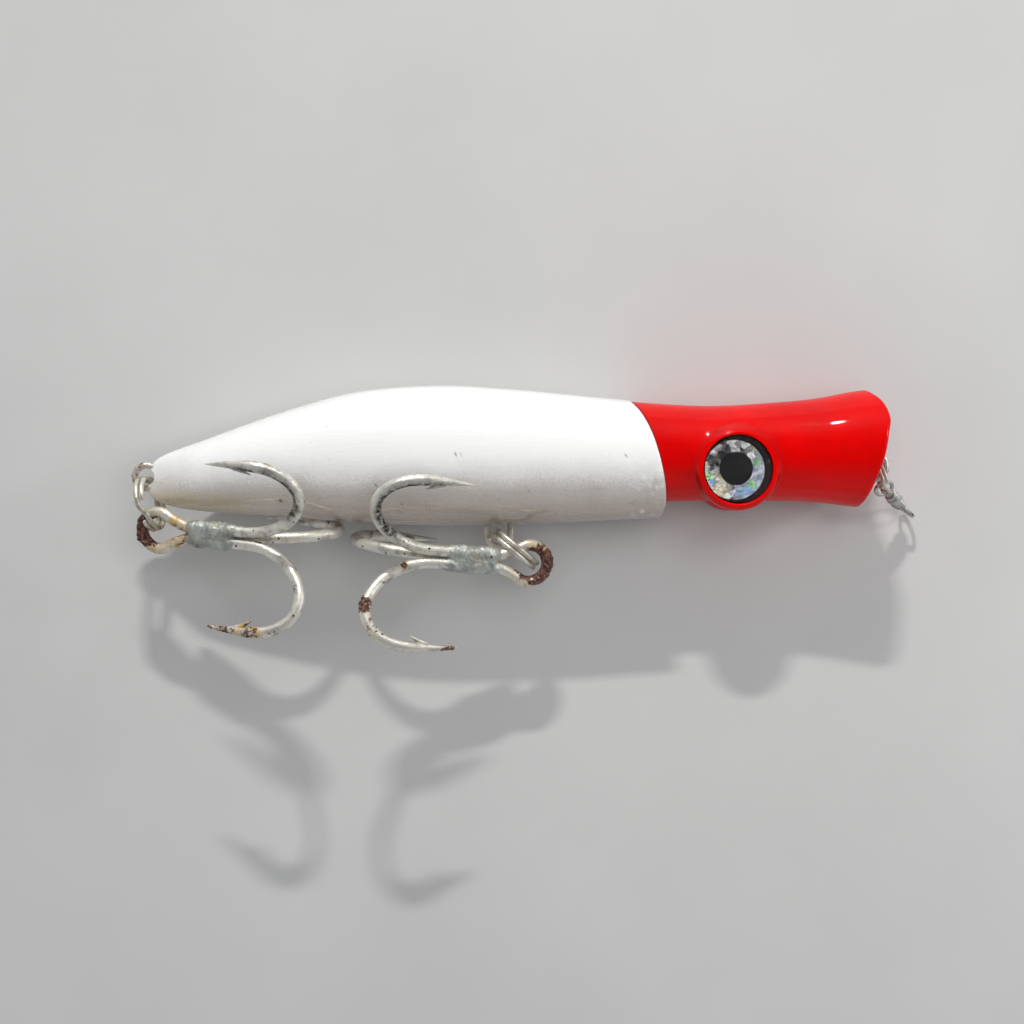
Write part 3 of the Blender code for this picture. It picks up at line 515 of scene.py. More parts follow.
def prism_foil():
    """Silver foil cut in small prisms: each flake has its own brightness and a few throw a colour, painted in
    as reflections.
    """
    made, tree, shader = new_finish("prism_foil", Metallic=0.3)
    cells = add(tree, "TexVoronoi", {"Vector": stretched(tree, (1, 1, 0.2)), "Scale": 900})
    parts = add(tree, "SeparateColor", {"Color": cells.outputs["Color"]})
    shade = ramp(tree, parts.outputs[0], (0, 0.015), (0.28, 0.1), (0.5, 0.45), (0.75, 0.85), (1, 1))
    hue = add(tree, "CombineColor", {"Red": parts.outputs[1], "Green": 0.6, "Blue": 0.9}, mode="HSV")
    colourful = times(tree, calc(tree, "GREATER_THAN", parts.outputs[2], 0.8), 0.35)
    tone = mix(tree, colourful, shade, hue.outputs["Color"])
    tone = mix(tree, times(tree, mask_of(tree, "cream"), 0.8), tone, (0.8, 0.74, 0.55))
    tone = mix(tree, times(tree, mask_of(tree, "bluish"), 0.6), tone, (0.42, 0.47, 0.66))
    tone = mix(tree, mask_of(tree, "green_glint"), tone, (0.3, 1, 0.15))
    tone = mix(tree, mask_of(tree, "blue_glint"), tone, (0.25, 0.55, 1))
    tone = mix(tree, mask_of(tree, "black"), tone, (0.008, 0.008, 0.009))
    polish = ramp(tree, parts.outputs[1], (0, 0.12), (1, 0.3))
    facets = add(tree, "TexVoronoi", {"Vector": stretched(tree, (1, 1, 0.2)), "Scale": 1500})
    connect(tree, shader, tone, polish, bumped(tree, facets.outputs["Distance"], 0.0002))
    return made


def plain(name, colour, roughness, metallic, per_metre, **constants):
    """A small hidden or simple part: its colour and roughness vary over soft patches."""
    made, tree, shader = new_finish(name, Metallic=metallic, **constants)
    patches = noise_at(tree, per_metre, 5)
    darker = tuple(c * 0.7 for c in colour)
    tone = ramp(tree, patches, (0.35, darker), (0.65, colour))
    polish = ramp(tree, patches, (0.3, roughness + 0.12), (0.7, roughness))
    connect(tree, shader, tone, polish, bumped(tree, patches, 0.00004))
    return made


def clear_dome():
    """Clear plastic with a slight haze; it bends light less than real plastic, so the pupil stays dark."""
    made, tree, shader = new_finish("clear_dome", Transmission_Weight=1, IOR=1.16)
    haze = noise_at(tree, 300, 3)
    tone = ramp(tree, haze, (0.4, 0.96), (0.7, 0.99))
    connect(tree, shader, tone, ramp(tree, haze, (0.5, 0), (0.8, 0.05)))
    return made


FINISH = {
    "white": pearl_white(),
    "red": gloss_red(),
    "foil": prism_foil(),
    "dome": clear_dome(),
    "pupil": plain("pupil_black", (0.01, 0.01, 0.011), 0.3, 0, 400, Specular_IOR_Level=0.02),
    # Black bed in the eye sockets: painted shade of the recess
    "socket": plain("socket_painted_shade", (0.014, 0.009, 0.009), 0.6, 0, 400, Specular_IOR_Level=0.02),
    "hook": steel("tinned_hook", (0.86, 0.84, 0.77), 0.3, 0.2, 0.24),
    "ring": steel("split_ring_steel", (0.8, 0.77, 0.68), 0.26, 0.24, 0.16),
    "wire": steel("through_wire_steel", (0.74, 0.73, 0.69), 0.26, 0.2, 0.05),
    "swivel": steel("swivel_steel", (0.62, 0.63, 0.62), 0.34, 0.3, 0.3),
    "braze": steel("hook_braze_metal", (0.6, 0.64, 0.6), 0.46, 0.3, 0.1),
    "lead": plain("ballast_lead", (0.2, 0.2, 0.22), 0.6, 0.9, 500),
    "brass": plain("rattle_brass", (0.7, 0.5, 0.22), 0.3, 1, 500),
    "ball": plain("rattle_ball_steel", (0.62, 0.62, 0.62), 0.12, 1, 500),
}


# Body and head

FORWARD = np.array((1, 0, 0))


def dense(rows):
    return smooth_run(rows, 16)


def section(rows, x):
    """Middle height, half height and half width at each x."""
    back, belly, half = (np.interp(x, rows[:, 0], rows[:, k]) for k in (1, 2, 3))
    return (back + belly) / 2, (back - belly) / 2, half


def around_angles(count):
    """Angles from the back round the right flank and the belly, closer together near the parting line."""
    t = 2 * pi * np.arange(count) / count
    return t - 0.3 * np.sin(2 * t)


def line_x(line, rows, angles, guess):
    """Where a line drawn on the side view crosses each angle's run along the skin."""
    run = smooth_run([(y, x, 0) for x, y in reversed(line)], 12)
    x = np.full(len(angles), guess, float)
    for _ in range(30):
        middle, half_height, half = section(rows, x)
        x = np.interp(middle + half_height * np.cos(angles), run[:, 0], run[:, 1])
    return x


def skin(rows, x, angles):
    """Skin points and their inward directions at x (stations, around); the parting line is a fine groove."""
    middle, half_height, half = section(rows, x)
    y, z = middle + half_height * np.cos(angles), half * np.sin(angles)
    inward = unit(np.stack((np.zeros_like(x), middle - y, -z), axis=2))
    groove = SEAM_DEPTH * np.exp(-(z / SEAM_WIDTH) ** 2) * ease(0.4, 1.2, half)
    return np.stack((x, y, z), axis=2) + inward * groove[..., None], inward


def rolled(edge, into, radius, end, steps):
    """Rings that carry a skin's front edge inwards round a radius, to an angle."""
    turns = np.radians(np.linspace(12, end, steps))
    return [edge + radius * (FORWARD * sin(a) + into * (1 - cos(a))) for a in turns]


def body():
    """The white body, from the tail tip to the rounded shoulder at the gill line."""
    rows, angles = dense(BODY_ROWS), around_angles(220)
    gill = line_x(GILL_LINE, rows, angles, 90)
    share = np.linspace(0, 1, 300)[:, None] ** 1.08
    grid, inward = skin(rows, 0.02 + share * (gill - 0.02), angles)
    grid = raised(grid, body_wear(grid.reshape(-1, 3)))
    into = inward[-1]
    shoulder = rolled(grid[-1], into, GILL_EDGE_RADIUS, 90, 7)
    face = [shoulder[-1] + into * depth for depth in np.linspace(0.3, GILL_END_DEPTH, 8)]
    grid = np.concatenate((grid, np.array(shoulder + face)))
    points = grid.reshape(-1, 3)
    x, y, z = points.T
    # Darker towards the bottom and by the lower gill line: scuffs and dirt, and painted shade of the lower
    # flank
    lower = ease(2, -7, y)
    patch = ease(-0.15, 0.5, fractal(points, 7))
    near_gill = ease(9, 1, np.abs(x - 88)) * ease(3, -3, y)
    nicks = sum(np.exp(-(np.hypot(x - nx, y - ny) / radius) ** 4) for nx, ny, radius in NICKS)
    masks = {
        "grime_and_shade": np.clip(lower * (0.35 + 0.65 * patch) + 0.5 * near_gill * patch, 0, 1),
        "stain": ease(26, 4, x) * ease(-1.5, -4.5, y) * (0.45 + 0.55 * patch),
        "chips": chip_heights(points)[1],
        "nicks": nicks * (z > 0),
    }
    shape = points, tube_faces(len(grid), len(angles))
    obj = piece("body", shape, "white", ("body_shell_right", "body_shell_left"), masks)
    notch = drum(TAIL_NOTCH_RADIUS, -TAIL_NOTCH_HALF, TAIL_NOTCH_HALF)
    cut(obj, *lathe(notch, 40, (*TAIL_LOOP, 0), (0, 0, 1)))


def chip_heights(points):
    """Blisters and lifted flakes of paint near the lower end of the gill line: height, and mask."""
    chance = np.random.default_rng(7)
    height, mask = np.zeros(len(points)), np.zeros(len(points))
    x, y, z = points.T
    for side in (1, -1):
        near = (np.sign(z) == side) | (np.abs(z) < 0.1)
        for _ in range(BLISTERS):
            blister_x, blister_y = 92.8 - chance.exponential(1.5), chance.uniform(-6.8, 1.4)
            radius, rise = chance.uniform(0.14, 0.46), chance.uniform(0.03, 0.15)
            reach = np.hypot((x - blister_x) * 0.8, y - blister_y) / radius
            bump = np.where(near, np.exp(-reach ** 3), 0)
            height = np.maximum(height, rise * bump)
            mask = np.maximum(mask, chance.uniform(-0.3, 0.7) * bump)
    return height, mask


def body_wear(points):
    """How far the skin stands off its fair shape: slow ripples, blisters and dents."""
    height = 0.018 * fractal(points, 9, 2) + chip_heights(points)[0]
    for x, y, radius, depth in DENTS:
        height -= depth * np.exp(-(np.hypot(points[:, 0] - x, points[:, 1] - y) / radius) ** 2)
    return height


def raised(grid, height):
    """The grid moved out along its normals by a height at each point."""
    return grid + grid_normals(grid) * height.reshape(grid.shape[:2])[..., None]


def boss_lift(grid, inward, middle):
    """How far each skin point moves out to reach the round boss that carries an eye, with a soft fillet."""
    x, y, z = np.moveaxis(grid, 2, 0)
    reach = np.sqrt(np.maximum(BOSS_RADIUS ** 2 - (x - EYE_X) ** 2, 0))
    out_y, out_z = -inward[..., 1], -inward[..., 2]
    radius = np.hypot(y - middle, z)
    to_top = BOSS_TOP / np.maximum(np.abs(out_z), 1e-6)
    edge_y = np.where(out_y < 0, EYE_Y - reach, EYE_Y + reach)
    to_edge = (edge_y - middle) / np.where(np.abs(out_y) < 1e-6, 1e-6, out_y)
    hit = np.minimum(to_top, np.where(to_edge > 0, to_edge, 0))
    above_foot = ease(BOSS_FOOT - 0.8, BOSS_FOOT + 1.4, np.abs(out_z) * hit)
    gap = hit - radius
    rise = (gap + np.sqrt(gap ** 2 + BOSS_FILLET ** 2)) / 2
    rise = np.minimum(rise, np.maximum(to_top - radius, 0))
    inside = ease(BOSS_RADIUS + 1.2, BOSS_RADIUS - 0.6, np.abs(x - EYE_X))
    rise *= above_foot * inside * (reach > 0.3)
    for _ in range(BOSS_SOFTENING):
        rise = (np.roll(rise, 1, axis=1) + 2 * rise + np.roll(rise, -1, axis=1)) / 4
        rise[1:-1] = (rise[:-2] + 2 * rise[1:-1] + rise[2:]) / 4
    return rise


def head():
    """The red head: skin, eye bosses, rolled lip and the cupped mouth."""
    rows, angles = dense(HEAD_ROWS), around_angles(280)
    gill = line_x(GILL_LINE, dense(BODY_ROWS), angles, 90) - HEAD_START_BEHIND_GILL
    mouth = line_x(MOUTH_RIM, rows, angles, 131) - LIP_SETBACK
    x = gill + np.linspace(0, 1, 230)[:, None] * (mouth - gill)
    grid, inward = skin(rows, x, angles)
    grid -= inward * boss_lift(grid, inward, section(rows, x)[0])[..., None]
    grid = raised(grid, 0.012 * fractal(grid.reshape(-1, 3), 8, 2))
    lip = rolled(grid[-1], inward[-1], LIP_THICKNESS / 2, 180, 14)
    inner, centre = lip[-1], np.array((*CUP_CENTRE, 0))
    cup = []
    for share in np.linspace(1, 0.02, 46)[1:]:
        bowl = CUP_DEPTH * (1 - share ** 2) ** 0.5
        cup.append(centre + (inner - centre) * share - FORWARD * bowl)
    grid = np.concatenate((grid, np.array(lip + cup)))
    points = grid.reshape(-1, 3)
    from_eye = np.hypot(points[:, 0] - EYE_X, points[:, 1] - EYE_Y)
    line = np.array(GILL_LINE[::-1])
    from_gill = np.abs(points[:, 0] - np.interp(points[:, 1], line[:, 1], line[:, 0]) - 0.2)
    # Darker red in the crease at the gill line and round the foot of each eye boss: painted shade
    round_eye = ease(8.6, 7.4, from_eye) * ease(7, 7.5, from_eye)
    masks = {"grime_and_shade": np.clip(0.75 * ease(0.9, 0.1, from_gill) + 0.25 * round_eye, 0, 1)}
    shape = points, tube_faces(len(grid), len(angles))
    obj = piece("head", shape, "red", ("head_shell_right", "head_shell_left"), masks)
    for side in (1, -1):
        socket = [(r, side * h) for r, h in drum(SOCKET_RADIUS, SOCKET_FLOOR, BOSS_TOP + 3)]
        cut(obj, *lathe(socket, 96, (EYE_X, EYE_Y, 0), (0, 0, 1)))


def eye(flank, side):
    """Rolled rim, darker inside as painted shade, black bed painted as the socket's shade, foil with its
    printed pupil, and clear dome.
    """
    axis, centre = (0, 0, side), (EYE_X, EYE_Y, 0)
    top, middle = BOSS_TOP + 0.02, SOCKET_RADIUS + 0.27
    turns = np.radians(np.linspace(0, 150, 12))
    rim = [(SOCKET_RADIUS - 0.03, SOCKET_FLOOR + 0.1)]
    rim += [(middle - RIM_ROLL * cos(a), top - RIM_ROLL + RIM_ROLL * sin(a)) for a in turns]
    rim += [(middle + 0.35, BOSS_TOP - 0.3), (middle + 0.3, BOSS_TOP - 1), (middle, BOSS_TOP - 1)]
    points, faces = lathe(rim, RIM_STEPS, centre, axis)
    last = len(points) - RIM_STEPS
    faces[-2:] = [(last + i, last + (i + 1) % RIM_STEPS, (i + 1) % RIM_STEPS, i) for i in range(RIM_STEPS)]
    # Darker down into the socket: painted shade of the recess
    masks = {"grime_and_shade": np.clip(ease(9.35, 8.9, side * points[:, 2]) * 0.7, 0, 1)}
    piece(f"eye_rim_{flank}", (points, faces), "red", masks=masks)

    # The bed is black as painted shade of the socket round the foil
    bed = lathe(drum(SOCKET_RADIUS + 0.02, SOCKET_FLOOR - 0.15, SOCKET_FLOOR + 0.06), 64, centre, axis)
    piece(f"eye_bed_{flank}", bed, "socket")
    foil = foil_prisms(side)
    masks = foil_masks(foil[0])
    piece(f"eye_foil_face_{flank}", foil, "foil", (f"eye_foil_{flank}",), masks, sharp=1)
    outer, face = PUPIL_RADIUS, FOIL_Z + 0.3
    pupil = [(ON_AXIS, face), (outer - 0.1, face), (outer, face - 0.08), (outer, FOIL_Z), (ON_AXIS, FOIL_Z)]
    pupil = lathe(pupil, 64, (PUPIL_X, PUPIL_Y, 0), axis)
    piece(f"eye_pupil_{flank}", pupil, "pupil")
    turns = np.radians(np.linspace(90, 0.3, 22))
    crown = [(DOME_RADIUS * sin(a), DOME_FOOT + DOME_EDGE + DOME_HEIGHT * cos(a)) for a in turns]
    dome = [(ON_AXIS, DOME_FOOT), (DOME_RADIUS - 0.1, DOME_FOOT), (DOME_RADIUS, DOME_FOOT + 0.1), *crown]
    dome = lathe(dome, 96, centre, axis)
    piece(f"eye_dome_clear_{flank}", dome, "dome", (f"eye_dome_{flank}",))


def foil_prisms(side):
    """A disc of small flat facets, each inner corner at its own height, on a flat back."""
    chance = np.random.default_rng(11)
    around = FOIL_STEPS
    following = [(j + 1) % around for j in range(around)]
    points, faces = [(FOIL_X, FOIL_Y, FOIL_Z + FOIL_MIDDLE)], []
    for i in range(1, FOIL_RINGS + 1):
        radius = FOIL_RADIUS * i / FOIL_RINGS
        for j in range(around):
            a = 2 * pi * (j + 0.5 * (i % 2)) / around
            lift = FOIL_MIDDLE + chance.uniform(-FOIL_ROUGHNESS, FOIL_ROUGHNESS) * (i < FOIL_RINGS)
            points.append((FOIL_X + radius * cos(a), FOIL_Y + radius * sin(a), FOIL_Z + lift))
    faces += [(0, 1 + j, 1 + k) for j, k in enumerate(following)]
    for i in range(FOIL_RINGS - 1):
        a, b = 1 + i * around, 1 + (i + 1) * around
        for j, k in enumerate(following):
            faces += [(a + j, b + j, b + k), (a + j, b + k, a + k)]
    back, rim = len(points), len(points) - around
    points += [(x, y, FOIL_Z + FOIL_BACK) for x, y, z in points[-around:]]
    faces += [(rim + j, back + j, back + k, rim + k) for j, k in enumerate(following)]
    faces.append(range(back, back + around))
    points = np.array(points)
    points[:, 2] *= side
    return points, faces


def foil_masks(points):
    """Painted reflections on the foil: black shards at its upper rear, cream below them, bluish in front, and
    a few coloured glints.
    """
    dx, dy = points[:, 0] - FOIL_X, points[:, 1] - FOIL_Y
    radius, angle = np.hypot(dx, dy), np.degrees(np.arctan2(dy, dx)) % 360
    shards = ease(-0.1, 0.15, fractal(np.column_stack((dx, dy, np.full(len(dx), 3))), 1.6, 2))
    upper_rear = ease(85, 110, angle) * ease(205, 180, angle)
    upper_rear *= ease(5, 4.4, radius)
    masks = {
        "black": np.clip(0.15 * shards + upper_rear * (0.65 + 0.35 * shards), 0, 1),
        "cream": ease(190, 205, angle) * ease(262, 240, angle),
        "bluish": ease(270, 285, angle) + ease(45, 20, angle),
    }
    for name, glints in (("green_glint", GREEN_GLINTS), ("blue_glint", BLUE_GLINTS)):
        masks[name] = np.zeros(len(dx))
        for turn, out in glints:
            spot = out * direction(turn)
            near = ease(0.75, 0.35, np.hypot(dx - spot[0], dy - spot[1]))
            masks[name] = np.maximum(masks[name], near)
    return masks


# Wire, rings and swivel

def arc(centre, radius, start, end, steps):
    """Points of an arc in the x-y plane, angles in degrees."""
    a = np.radians(np.linspace(start, end, steps + 1))
    return np.column_stack((centre[0] + radius * np.cos(a), centre[1] + radius * np.sin(a), np.zeros(len(a))))


def wire_line(x):
    """A point on the through-wire's straight run."""
    (tail_x, tail_y), (nose_x, nose_y) = TAIL_LOOP, NOSE_LOOP
    return x, tail_y + (nose_y - tail_y) * (x - tail_x) / (nose_x - tail_x), 0


def roughened(points, centres, amount, size):
    """Points moved away from the wire's centreline by smooth noise."""
    return points + unit(points - centres) * (amount * fractal(points, size))[:, None]


def wire_shape(path, radii, sides, amount, size):
    points, faces = sweep(path, radii, sides)
    return roughened(points, np.repeat(np.asarray(path), sides, axis=0), amount, size), faces


def through_wire():
    """One bent wire: tail loop, straight run, belly loop and nose loop."""
    tail = arc(TAIL_LOOP, TAIL_LOOP_RADIUS, 35, 318, 60)
    nose = arc(NOSE_LOOP, NOSE_LOOP_RADIUS, 222, 505, 60)
    x, y = BELLY_LOOP
    rear, front = x - BELLY_LOOP_RADIUS, x + BELLY_LOOP_RADIUS
    rear_y, front_y = wire_line(rear)[1] - CORNER_RADIUS, wire_line(front)[1] - CORNER_RADIUS
    tail_neck = [(TAIL_LOOP[0] + 2.9, wire_line(4.2)[1] - 0.35, 0), wire_line(TAIL_LOOP[0] + 4.6)]
    nose_start = wire_line(NOSE_LOOP[0] - 4.9)
    nose_neck = [nose_start, (NOSE_LOOP[0] - 3.1, nose_start[1] - 0.4, 0)]
    belly = np.vstack((
        arc((rear - CORNER_RADIUS, rear_y), CORNER_RADIUS, 90, 0, 12),
        arc((x, y), BELLY_LOOP_RADIUS, 180, 360, 40),
        arc((front + CORNER_RADIUS, front_y), CORNER_RADIUS, 180, 90, 12),
    ))
    path = evenly(np.vstack((tail, tail_neck, belly, nose_neck, nose)), 0.3)
    points, faces = wire_shape(path, [WIRE_RADIUS] * len(path), 20, 0.015, 0.8)
    at_belly = np.linalg.norm(points[:, :2] - np.array(BELLY_LOOP), axis=1)
    masks = {
        "rust": 0.4 * ease(1, -1.5, points[:, 0]) + 0.3 * ease(4, 1.5, at_belly),
        "stain": 0.5 * ease(2, -1, points[:, 0]) + 0.4 * ease(4.5, 2, at_belly),
    }
    piece("bent_wire", (points, faces), "wire", ("through_wire",), masks)


def split_ring(prefix, size, centre, along, up, start, hot_spot):
    """Two sprung coils a pitch apart, from a start angle in degrees; it has rusted most at the hot spot."""
    radius, wire, pitch = size
    along, up, start = Vector(along).normalized(), Vector(up), radians(start)
    up = (up - along * up.dot(along)).normalized()
    angles = np.linspace(0, COIL_END, 230)
    climb = ease(*CROSSOVER, angles)
    local = np.column_stack((radius * np.cos(angles), radius * np.sin(angles), pitch * (climb - 0.5)))
    where = frame_axes(centre, along * cos(start) + up * sin(start), along.cross(up))
    path = placed(local, where)
    ends = np.minimum(np.arange(len(path)), np.arange(len(path))[::-1])
    points, faces = wire_shape(path, wire * (0.72 + 0.28 * ease(0, 3, ends)), 20, 0.025, 0.6)
    near = ease(4.2, 1, np.linalg.norm(points - np.array(hot_spot), axis=1))
    masks = {"rust": 0.04 + 0.4 * near, "stain": 0.1 + 0.45 * near}
    replaced = (f"{prefix}_split_ring",)
    piece(f"{prefix}_ring_coils", (points, faces), "ring", replaced, masks, f"{prefix}_ring")


def split_rings():
    up, tail_along = Vector((0, 0, 1)), Vector(TAIL_RING_ALONG).normalized()
    leaning = up * cos(TAIL_RING_LEAN) - up.cross(tail_along) * sin(TAIL_RING_LEAN)
    for setting in (
        ("belly", HOOK_RING, BELLY_RING_CENTRE, BELLY_RING_ALONG, up, -110, (70.2, -15.8, 2.1)),
        ("tail", HOOK_RING, TAIL_RING_CENTRE, tail_along, leaning, 100, (1.64, -9.1, 0.6)),
        ("nose", NOSE_RING, NOSE_RING_CENTRE, NOSE_RING_ALONG, up, 60, swivel_frame().translation),
    ):
        split_ring(*setting)


def swivel_frame():
    """Where the swivel's inner eye hangs on the nose ring, lying across the ring's wire."""
    along, up = Vector(NOSE_RING_ALONG).normalized(), Vector((0, 0, 1))
    outward = along * cos(SWIVEL_LINK_ANGLE) + up * sin(SWIVEL_LINK_ANGLE)
    tangent = up * cos(SWIVEL_LINK_ANGLE) - along * sin(SWIVEL_LINK_ANGLE)
    return frame_axes(Vector(NOSE_RING_CENTRE) + outward * NOSE_RING[0], SWIVEL_AXIS, tangent)


def swivel_eye(eye_x, inward, where):
    """An open eye of wire, its stem, and the wire's tail wound round the stem."""
    loop = arc((0, 0), SWIVEL_EYE_RADIUS, 40, 322, 50)
    loop[:, 0] = eye_x + inward * loop[:, 0]
    face = BARREL_START if inward > 0 else BARREL_END
    stem = [(face - inward * 0.3, 0, 0), (face + inward * 0.9, 0, 0)]
    path = evenly(np.vstack((loop, stem)), 0.12)
    eye_wire = wire_shape(placed(path, where), [SWIVEL_EYE_WIRE] * len(path), 16, 0.03, 0.45)
    turns = np.linspace(0, 2 * pi * WOUND_TURNS, 90)
    along = np.linspace(eye_x + inward * (SWIVEL_EYE_RADIUS - 0.35), face - inward * 0.28, len(turns))
    coil = np.column_stack((along, WOUND_RADIUS * np.cos(turns), WOUND_RADIUS * np.sin(turns)))
    return join(eye_wire, wire_shape(placed(coil, where), [WOUND_WIRE] * len(turns), 12, 0.03, 0.4))


def swivel():
    """Inner and outer eyes, and the turned barrel between them."""
    where = swivel_frame()
    turned = where @ Matrix.Rotation(OUTER_EYE_TURN, 4, "X")
    for end, *setting in (("inner", INNER_EYE_X, 1, where), ("outer", OUTER_EYE_X, -1, turned)):
        shape = swivel_eye(*setting)
        masks = {"rust": 0.04 + 0.1 * fractal(shape[0], 1), "stain": 0.06}
        replaced = (f"swivel_{end}_eye",)
        piece(f"swivel_eye_{end}", shape, "swivel", replaced, masks, f"swivel_{end}")
    length = BARREL_END - BARREL_START
    outline = [
        (0.5, 0), (0.95, 0), (1.12, 0.12), (1.15, 0.38), (1, 0.55), (0.98, 0.7), (1.22, 0.95),
        (1.33, 1.3), (BARREL_RADIUS, length / 2),
    ]
    profile = outline + [(r, length - h) for r, h in reversed(outline[:-1])]
    fine = smooth_run([(r, h, 0) for r, h in profile], 6)[:, :2]
    axis = np.array(where.to_3x3() @ Vector((1, 0, 0)))
    foot = np.array(where @ Vector((BARREL_START, 0, 0)))
    points, faces = lathe(fine, 40, foot, axis)
    points = roughened(points, foot + np.outer((points - foot) @ axis, axis), 0.03, 0.5)
    masks = {"rust": 0.06 + 0.12 * fractal(points, 1.2), "stain": 0.08}
    shape = points, faces
    piece("swivel_body_turned", shape, "swivel", ("swivel_barrel",), masks, "swivel_body")


# Treble hooks

def swung(run, angle):
    """A flat run of (x, distance from the axis) turned to an arm's angle about the hook's axis."""
    return np.column_stack((run[:, 0], run[:, 1:2] * direction(angle)))


def arm(angle):
    """One arm's centreline from its shank to its point, in the hook's own axes."""
    run = evenly(smooth_run([(x, r, 0) for x, r in ARM_PROFILE], 18), 0.3)
    for _ in range(ARM_SMOOTHING):
        run[1:-1] = (run[:-2] + 2 * run[1:-1] + run[2:]) / 4
    return swung(run, angle)


def barb(angle):
    """A thin sliver raised from the inner side of the point, its free end towards the bend."""
    x, r = ARM_PROFILE[-1]
    x += BARB_ROOT
    free_end = (x + BARB_LENGTH, r - 0.5 - BARB_LIFT, 0)
    run = smooth_run(((x - 0.9, r + 0.05, 0), (x + 0.5, r - 0.35, 0), (x + 1.9, r - 0.95, 0), free_end), 10)
    radii = np.interp(np.linspace(0, 1, len(run)), (0, 0.3, 0.7, 1), (0.25, 0.52, 0.38, 0.03))
    return sweep(swung(run, angle), radii, 10)


def taper(path, tips):
    """Wire radius at each point: full wire, and ground down over the last few millimetres to each tip."""
    share = np.ones(len(path))
    for tip in tips:
        share = np.minimum(share, np.linalg.norm(path - tip, axis=1) / POINT_LENGTH)
    return POINT_RADIUS + (HOOK_WIRE - POINT_RADIUS) * np.clip(share, 0, 1) ** 0.8


def double_wire():
    """Centreline of the wire with two arms and the eye, and its two tips."""
    first, second = (arm(angle) for angle in DOUBLE_ANGLES)
    side, height = first[0, 1:]
    eye = arc((0, 0), HOOK_EYE_RADIUS, 48, 312, 14)
    eye[:, 2] = height
    near = np.array([(x, side, height) for x in (11.5, 8.4, 5.8)] + [(4.2, side + 0.5, height)])
    far = near[::-1] * (1, -1, 1)
    middle = smooth_run(np.vstack((first[0], near, eye, far, second[0])), 8)
    return evenly(np.vstack((first[::-1], middle[1:-1], second)), 0.28), (first[-1], second[-1])


def treble_frame(setting, node):
    """The hook's placement, lifted until its lowest arm is as low as the CAD node."""
    turn = Matrix()
    for name, sign, axis in (("heading", 1, "Z"), ("pitch", -1, "Y"), ("roll", 1, "X")):
        turn @= Matrix.Rotation(radians(sign * setting[name]), 4, axis)
    lowest = placed(arm(SINGLE_ANGLE), turn)[:, 2].min() - HOOK_WIRE
    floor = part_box(node)[0].z / MM - ORIGIN[2]
    return Matrix.Translation((*setting["eye"], floor - lowest)) @ turn


def rust_masks(local, world, spots):
    """Rust and stain on a hook: a thin film, and the spots listed as BELLY_SPOTS and TAIL_SPOTS are."""
    patch = fractal(world, 3)
    rust = np.full(len(local), 0.08) + 0.06 * patch
    stain = 0.1 + 0.12 * patch
    for (centre, radius, in_hook), amount, stained in spots:
        points = local if in_hook else world
        centre = np.array(centre, float)
        known = ~np.isnan(centre)
        distance = np.linalg.norm(points[:, known] - centre[known], axis=1)
        near = ease(radius * 1.25, radius * 0.6, distance + 0.25 * radius * patch)
        rust = np.maximum(rust, amount * near)
        stain = np.maximum(stain, stained * ease(radius * 1.9, radius * 0.8, distance))
    return np.clip(rust, 0, 1), np.clip(stain, 0, 1)


def crusted(points, centres, local, rust):
    """Rust stands off the wire in flakes and pits it; inside the eye, where the ring turns, it stays thin."""
    flakes = np.abs(fractal(points, 0.8, 4)) * 0.58 + 0.26 * fractal(points, 0.33, 3) - 0.06
    x, from_middle = local[:, 0], np.hypot(local[:, 0], local[:, 1])
    inner = ease(HOOK_EYE_RADIUS - 0.1, HOOK_EYE_RADIUS - 0.7, from_middle) * (x < HOOK_EYE_END)
    height = ease(0.35, 0.8, rust) * flakes * (1 - 0.8 * inner) + 0.012 * fractal(points, 0.9)
    return points + unit(points - centres) * height[:, None]


def inner_dark_reflection(local, centres, above_eye):
    """Painted dark reflection along the inside of the bends that lie against the body, on the parts higher
    than the hook's eye.
    """
    away = (local - centres) / HOOK_WIRE
    tarnish_and_dark_reflection = np.zeros(len(local))
    from_axis = np.hypot(local[:, 1], local[:, 2])
    for angle in DOUBLE_ANGLES:
        towards = swung(np.array([BEND_CENTRE]), angle) - local
        distance = np.linalg.norm(towards, axis=1)
        inward = np.sum(away * towards, axis=1) / np.maximum(distance, 1e-6)
        near = (distance < 11.5) * ease(14, 21, local[:, 0]) * ease(3, 5.5, from_axis)
        tarnish_and_dark_reflection = np.maximum(tarnish_and_dark_reflection, ease(-0.75, 0.1, inward) * near)
    return tarnish_and_dark_reflection * ease(0.5, 3, above_eye)


def hook_piece(prefix, kind, path, tips, barbs, where, spots, sides=18):
    """One wire of a hook with its barbs, rusty and crusted; the wire tapers to its tips."""
    local, faces = sweep(path, taper(path, tips), sides)
    centres = np.repeat(path, sides, axis=0)
    world, eye_y = placed(local, where), where.translation.y
    rust, stain = rust_masks(local, world, spots)
    found = [(rust, stain, inner_dark_reflection(local, centres, world[:, 1] - eye_y))]
    shapes = [(crusted(world, placed(centres, where), local, rust), faces)]
    for local, faces in barbs:
        world = placed(local, where)
        # Barbs higher than the eye get half strength painted dark reflection
        found.append((*rust_masks(local, world, spots), 0.5 * (world[:, 1] > eye_y)))
        shapes.append((world, faces))
    masks = {mask: np.concatenate(values) for mask, values in zip(("rust", "stain", "tarnish_and_dark_reflection"), zip(*found))}
    replaced = (f"{prefix}_treble_{kind}",)
    piece(f"{prefix}_hook_{kind}", join(*shapes), "hook", replaced, masks, f"{prefix}_hook")


